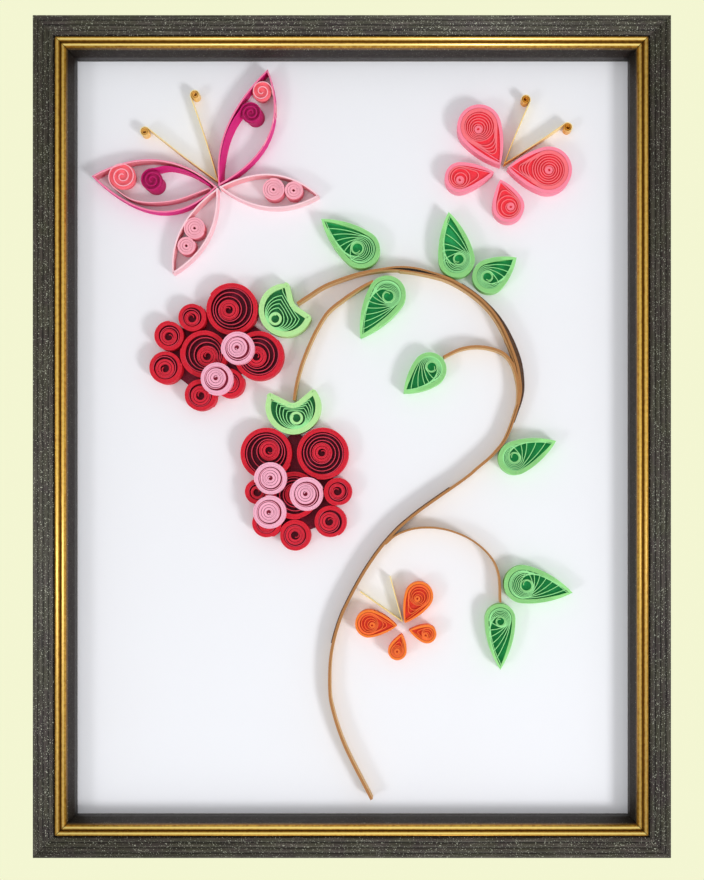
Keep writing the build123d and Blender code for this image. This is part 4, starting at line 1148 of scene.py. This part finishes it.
class QUILL_OT_moulding(bpy.types.Operator):
    """Dress the four rails of the frame in charcoal paint and gilding"""

    bl_idname = "quill.moulding"
    bl_label = "Moulding"

    def execute(self, context):
        s = context.scene.quilled_moulding
        paint = moulding_paint("charcoal and gilt", tuple(s.charcoal), tuple(s.gilt),
                               tuple(s.gilt_dark))
        for node in ("top_rail", "bottom_rail", "left_rail", "right_rail"):
            rail = bmesh.new()
            rail.from_mesh(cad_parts[node].data)
            bmesh.ops.remove_doubles(rail, verts=rail.verts[:], dist=0.002 * MILLI)
            settle(new_object(node + "_painted", rail), [node], paint)
        return {"FINISHED"}


class QUILL_OT_card(bpy.types.Operator):
    """Give the white card and the backing board their finish"""

    bl_idname = "quill.card"
    bl_label = "Card and board"

    def execute(self, context):
        dress("picture_card", card_stock("white card", (0.950, 0.955, 0.978)))
        dress("backing_board", brown_board("pressed board", (0.60, 0.49, 0.36)))
        return {"FINISHED"}


class QUILL_OT_fittings(bpy.types.Operator):
    """Give the nails, tabs, hanger and pins their finish"""

    bl_idname = "quill.fittings"
    bl_label = "Fittings"

    def execute(self, context):
        zinc = plated_metal("zinc plate", (0.62, 0.63, 0.65), (0.46, 0.47, 0.50), rough=0.42)
        brass = plated_metal("brass plate", (0.74, 0.59, 0.31), (0.56, 0.42, 0.20), rough=0.38)
        for node in ("corner_nails", "board_tabs", "hanger_pins"):
            dress(node, zinc)
        dress("sawtooth_hanger", brass)
        return {"FINISHED"}


class QUILL_OT_stage(bpy.types.Operator):
    """Set the floor, the lamps, the room light and the camera"""

    bl_idname = "quill.stage"
    bl_label = "Stage"

    def execute(self, context):
        scene = context.scene
        s = scene.quilled_stage
        middle = Vector((0.0, 0.0, frame_middle_up * MILLI))
        backdrop = srgb(tuple(s.backdrop))

        floor_radius, floor_drop = 1.3, 0.75
        ground = bmesh.new()
        bmesh.ops.create_circle(ground, cap_ends=True, cap_tris=False, segments=64,
                                radius=floor_radius)
        bmesh.ops.translate(ground, verts=ground.verts[:], vec=(0, 0, middle.z - floor_drop))
        floor = new_object("floor", ground)
        plain = Recipe("pale floor", roughness=0.9, specular=0.1)
        glow = plain.add("ShaderNodeEmission", {}, {"Color": backdrop})
        both = plain.add("ShaderNodeMixShader", {}, {
            0: plain.ray("Camera") * 0.7, 1: Signal(plain, plain.shader.outputs[0]), 2: glow})
        plain.feed(plain.nodes["Material Output"].inputs["Surface"], both)
        floor.data.materials.append(plain.paint(colour=srgb((0.88, 0.89, 0.87))))

        for name, place, share, size in (("left", (-0.72, -0.80, -0.48), 0.38, 0.27),
                                         ("right", (0.72, -0.80, -0.56), 1.20, 0.27),
                                         ("front", (-0.1, -1.1, 0.1), 0.20, 0.4),
                                         ("behind", (0.1, 0.80, 0.35), 0.45, 0.5)):
            lamp = bpy.data.lights.new("lamp_" + name, "AREA")
            lamp.shape = "DISK"
            lamp.size = size
            lamp.energy = s.lamp_watts * share
            holder = bpy.data.objects.new(lamp.name, lamp)
            holder.location = middle + Vector(place)
            toward = middle - holder.location
            holder.rotation_euler = toward.to_track_quat("-Z", "Y").to_euler()
            scene.collection.objects.link(holder)

        scene.world = bpy.data.worlds.new("room")
        sky = Tree(scene.world)
        sky.nodes.clear()
        room, behind = (sky.add("ShaderNodeBackground", {}, {"Color": colour, "Strength": strength})
                        for colour, strength in (((1, 1, 1, 1), s.sky), (backdrop, 1.0)))
        seen = sky.ray("Camera").most(sky.ray("Glossy")).most(sky.ray("Transmission"))
        shown = sky.add("ShaderNodeMixShader", {}, {0: seen, 1: room, 2: behind})
        sky.feed(sky.nodes.new("ShaderNodeOutputWorld").inputs["Surface"], shown)
        scene.view_settings.view_transform = "Standard"

        # The lens is shifted back to its aim, so that the frame stays square in the view
        aim_across, aim_up = -0.51, -0.90
        away_across, away_up = 16.0, -18.0
        lens = bpy.data.cameras.new("camera")
        lens.sensor_width = 36
        lens.lens = lens.sensor_width * s.distance / s.view_height
        lens.clip_start = 0.01
        lens.shift_x = -away_across * MILLI / s.view_height
        lens.shift_y = -away_up * MILLI / s.view_height
        camera = bpy.data.objects.new("camera", lens)
        camera.location = spot(aim_across + away_across,
                               depths_of("main_stem")[1] + s.distance / MILLI, aim_up + away_up)
        camera.rotation_euler = (math.radians(90), 0, 0)
        scene.collection.objects.link(camera)
        scene.camera = camera
        return {"FINISHED"}


class QUILL_PT_panel(bpy.types.Panel):
    """Lists what the picture is made of, with the sizes and colours to change."""

    bl_idname = "QUILL_PT_panel"
    bl_label = "Quilled Paper Picture"
    bl_space_type = "VIEW_3D"
    bl_region_type = "UI"
    bl_category = "Quilling"

    def draw(self, context):
        layout = self.layout
        for operator in operators:
            layout.operator(operator.bl_idname)
        for name in groups:
            group = getattr(context.scene, name)
            box = layout.box()
            for key in group.bl_rna.properties.keys():
                if key not in ("rna_type", "name"):
                    box.prop(group, key)


groups = {"quilled_paper": QuilledPaperSettings, "quilled_moulding": QuilledMouldingSettings,
          "quilled_stage": QuilledStageSettings}
operators = (QUILL_OT_moulding, QUILL_OT_card, QUILL_OT_fittings, QUILL_OT_berries,
             QUILL_OT_calyxes, QUILL_OT_leaves, QUILL_OT_stems, QUILL_OT_open_butterfly,
             QUILL_OT_closed_butterflies, QUILL_OT_feelers, QUILL_OT_stage)
classes = (*groups.values(), *operators, QUILL_PT_panel)


def register():
    for item in classes:
        bpy.utils.register_class(item)
    for name, group in groups.items():
        setattr(bpy.types.Scene, name, PointerProperty(type=group))


def unregister():
    for name in groups:
        delattr(bpy.types.Scene, name)
    for item in reversed(classes):
        bpy.utils.unregister_class(item)


def main():
    register()
    for operator in operators:
        getattr(bpy.ops.quill, operator.bl_idname.removeprefix("quill."))()


if __name__ == "__main__":
    main()
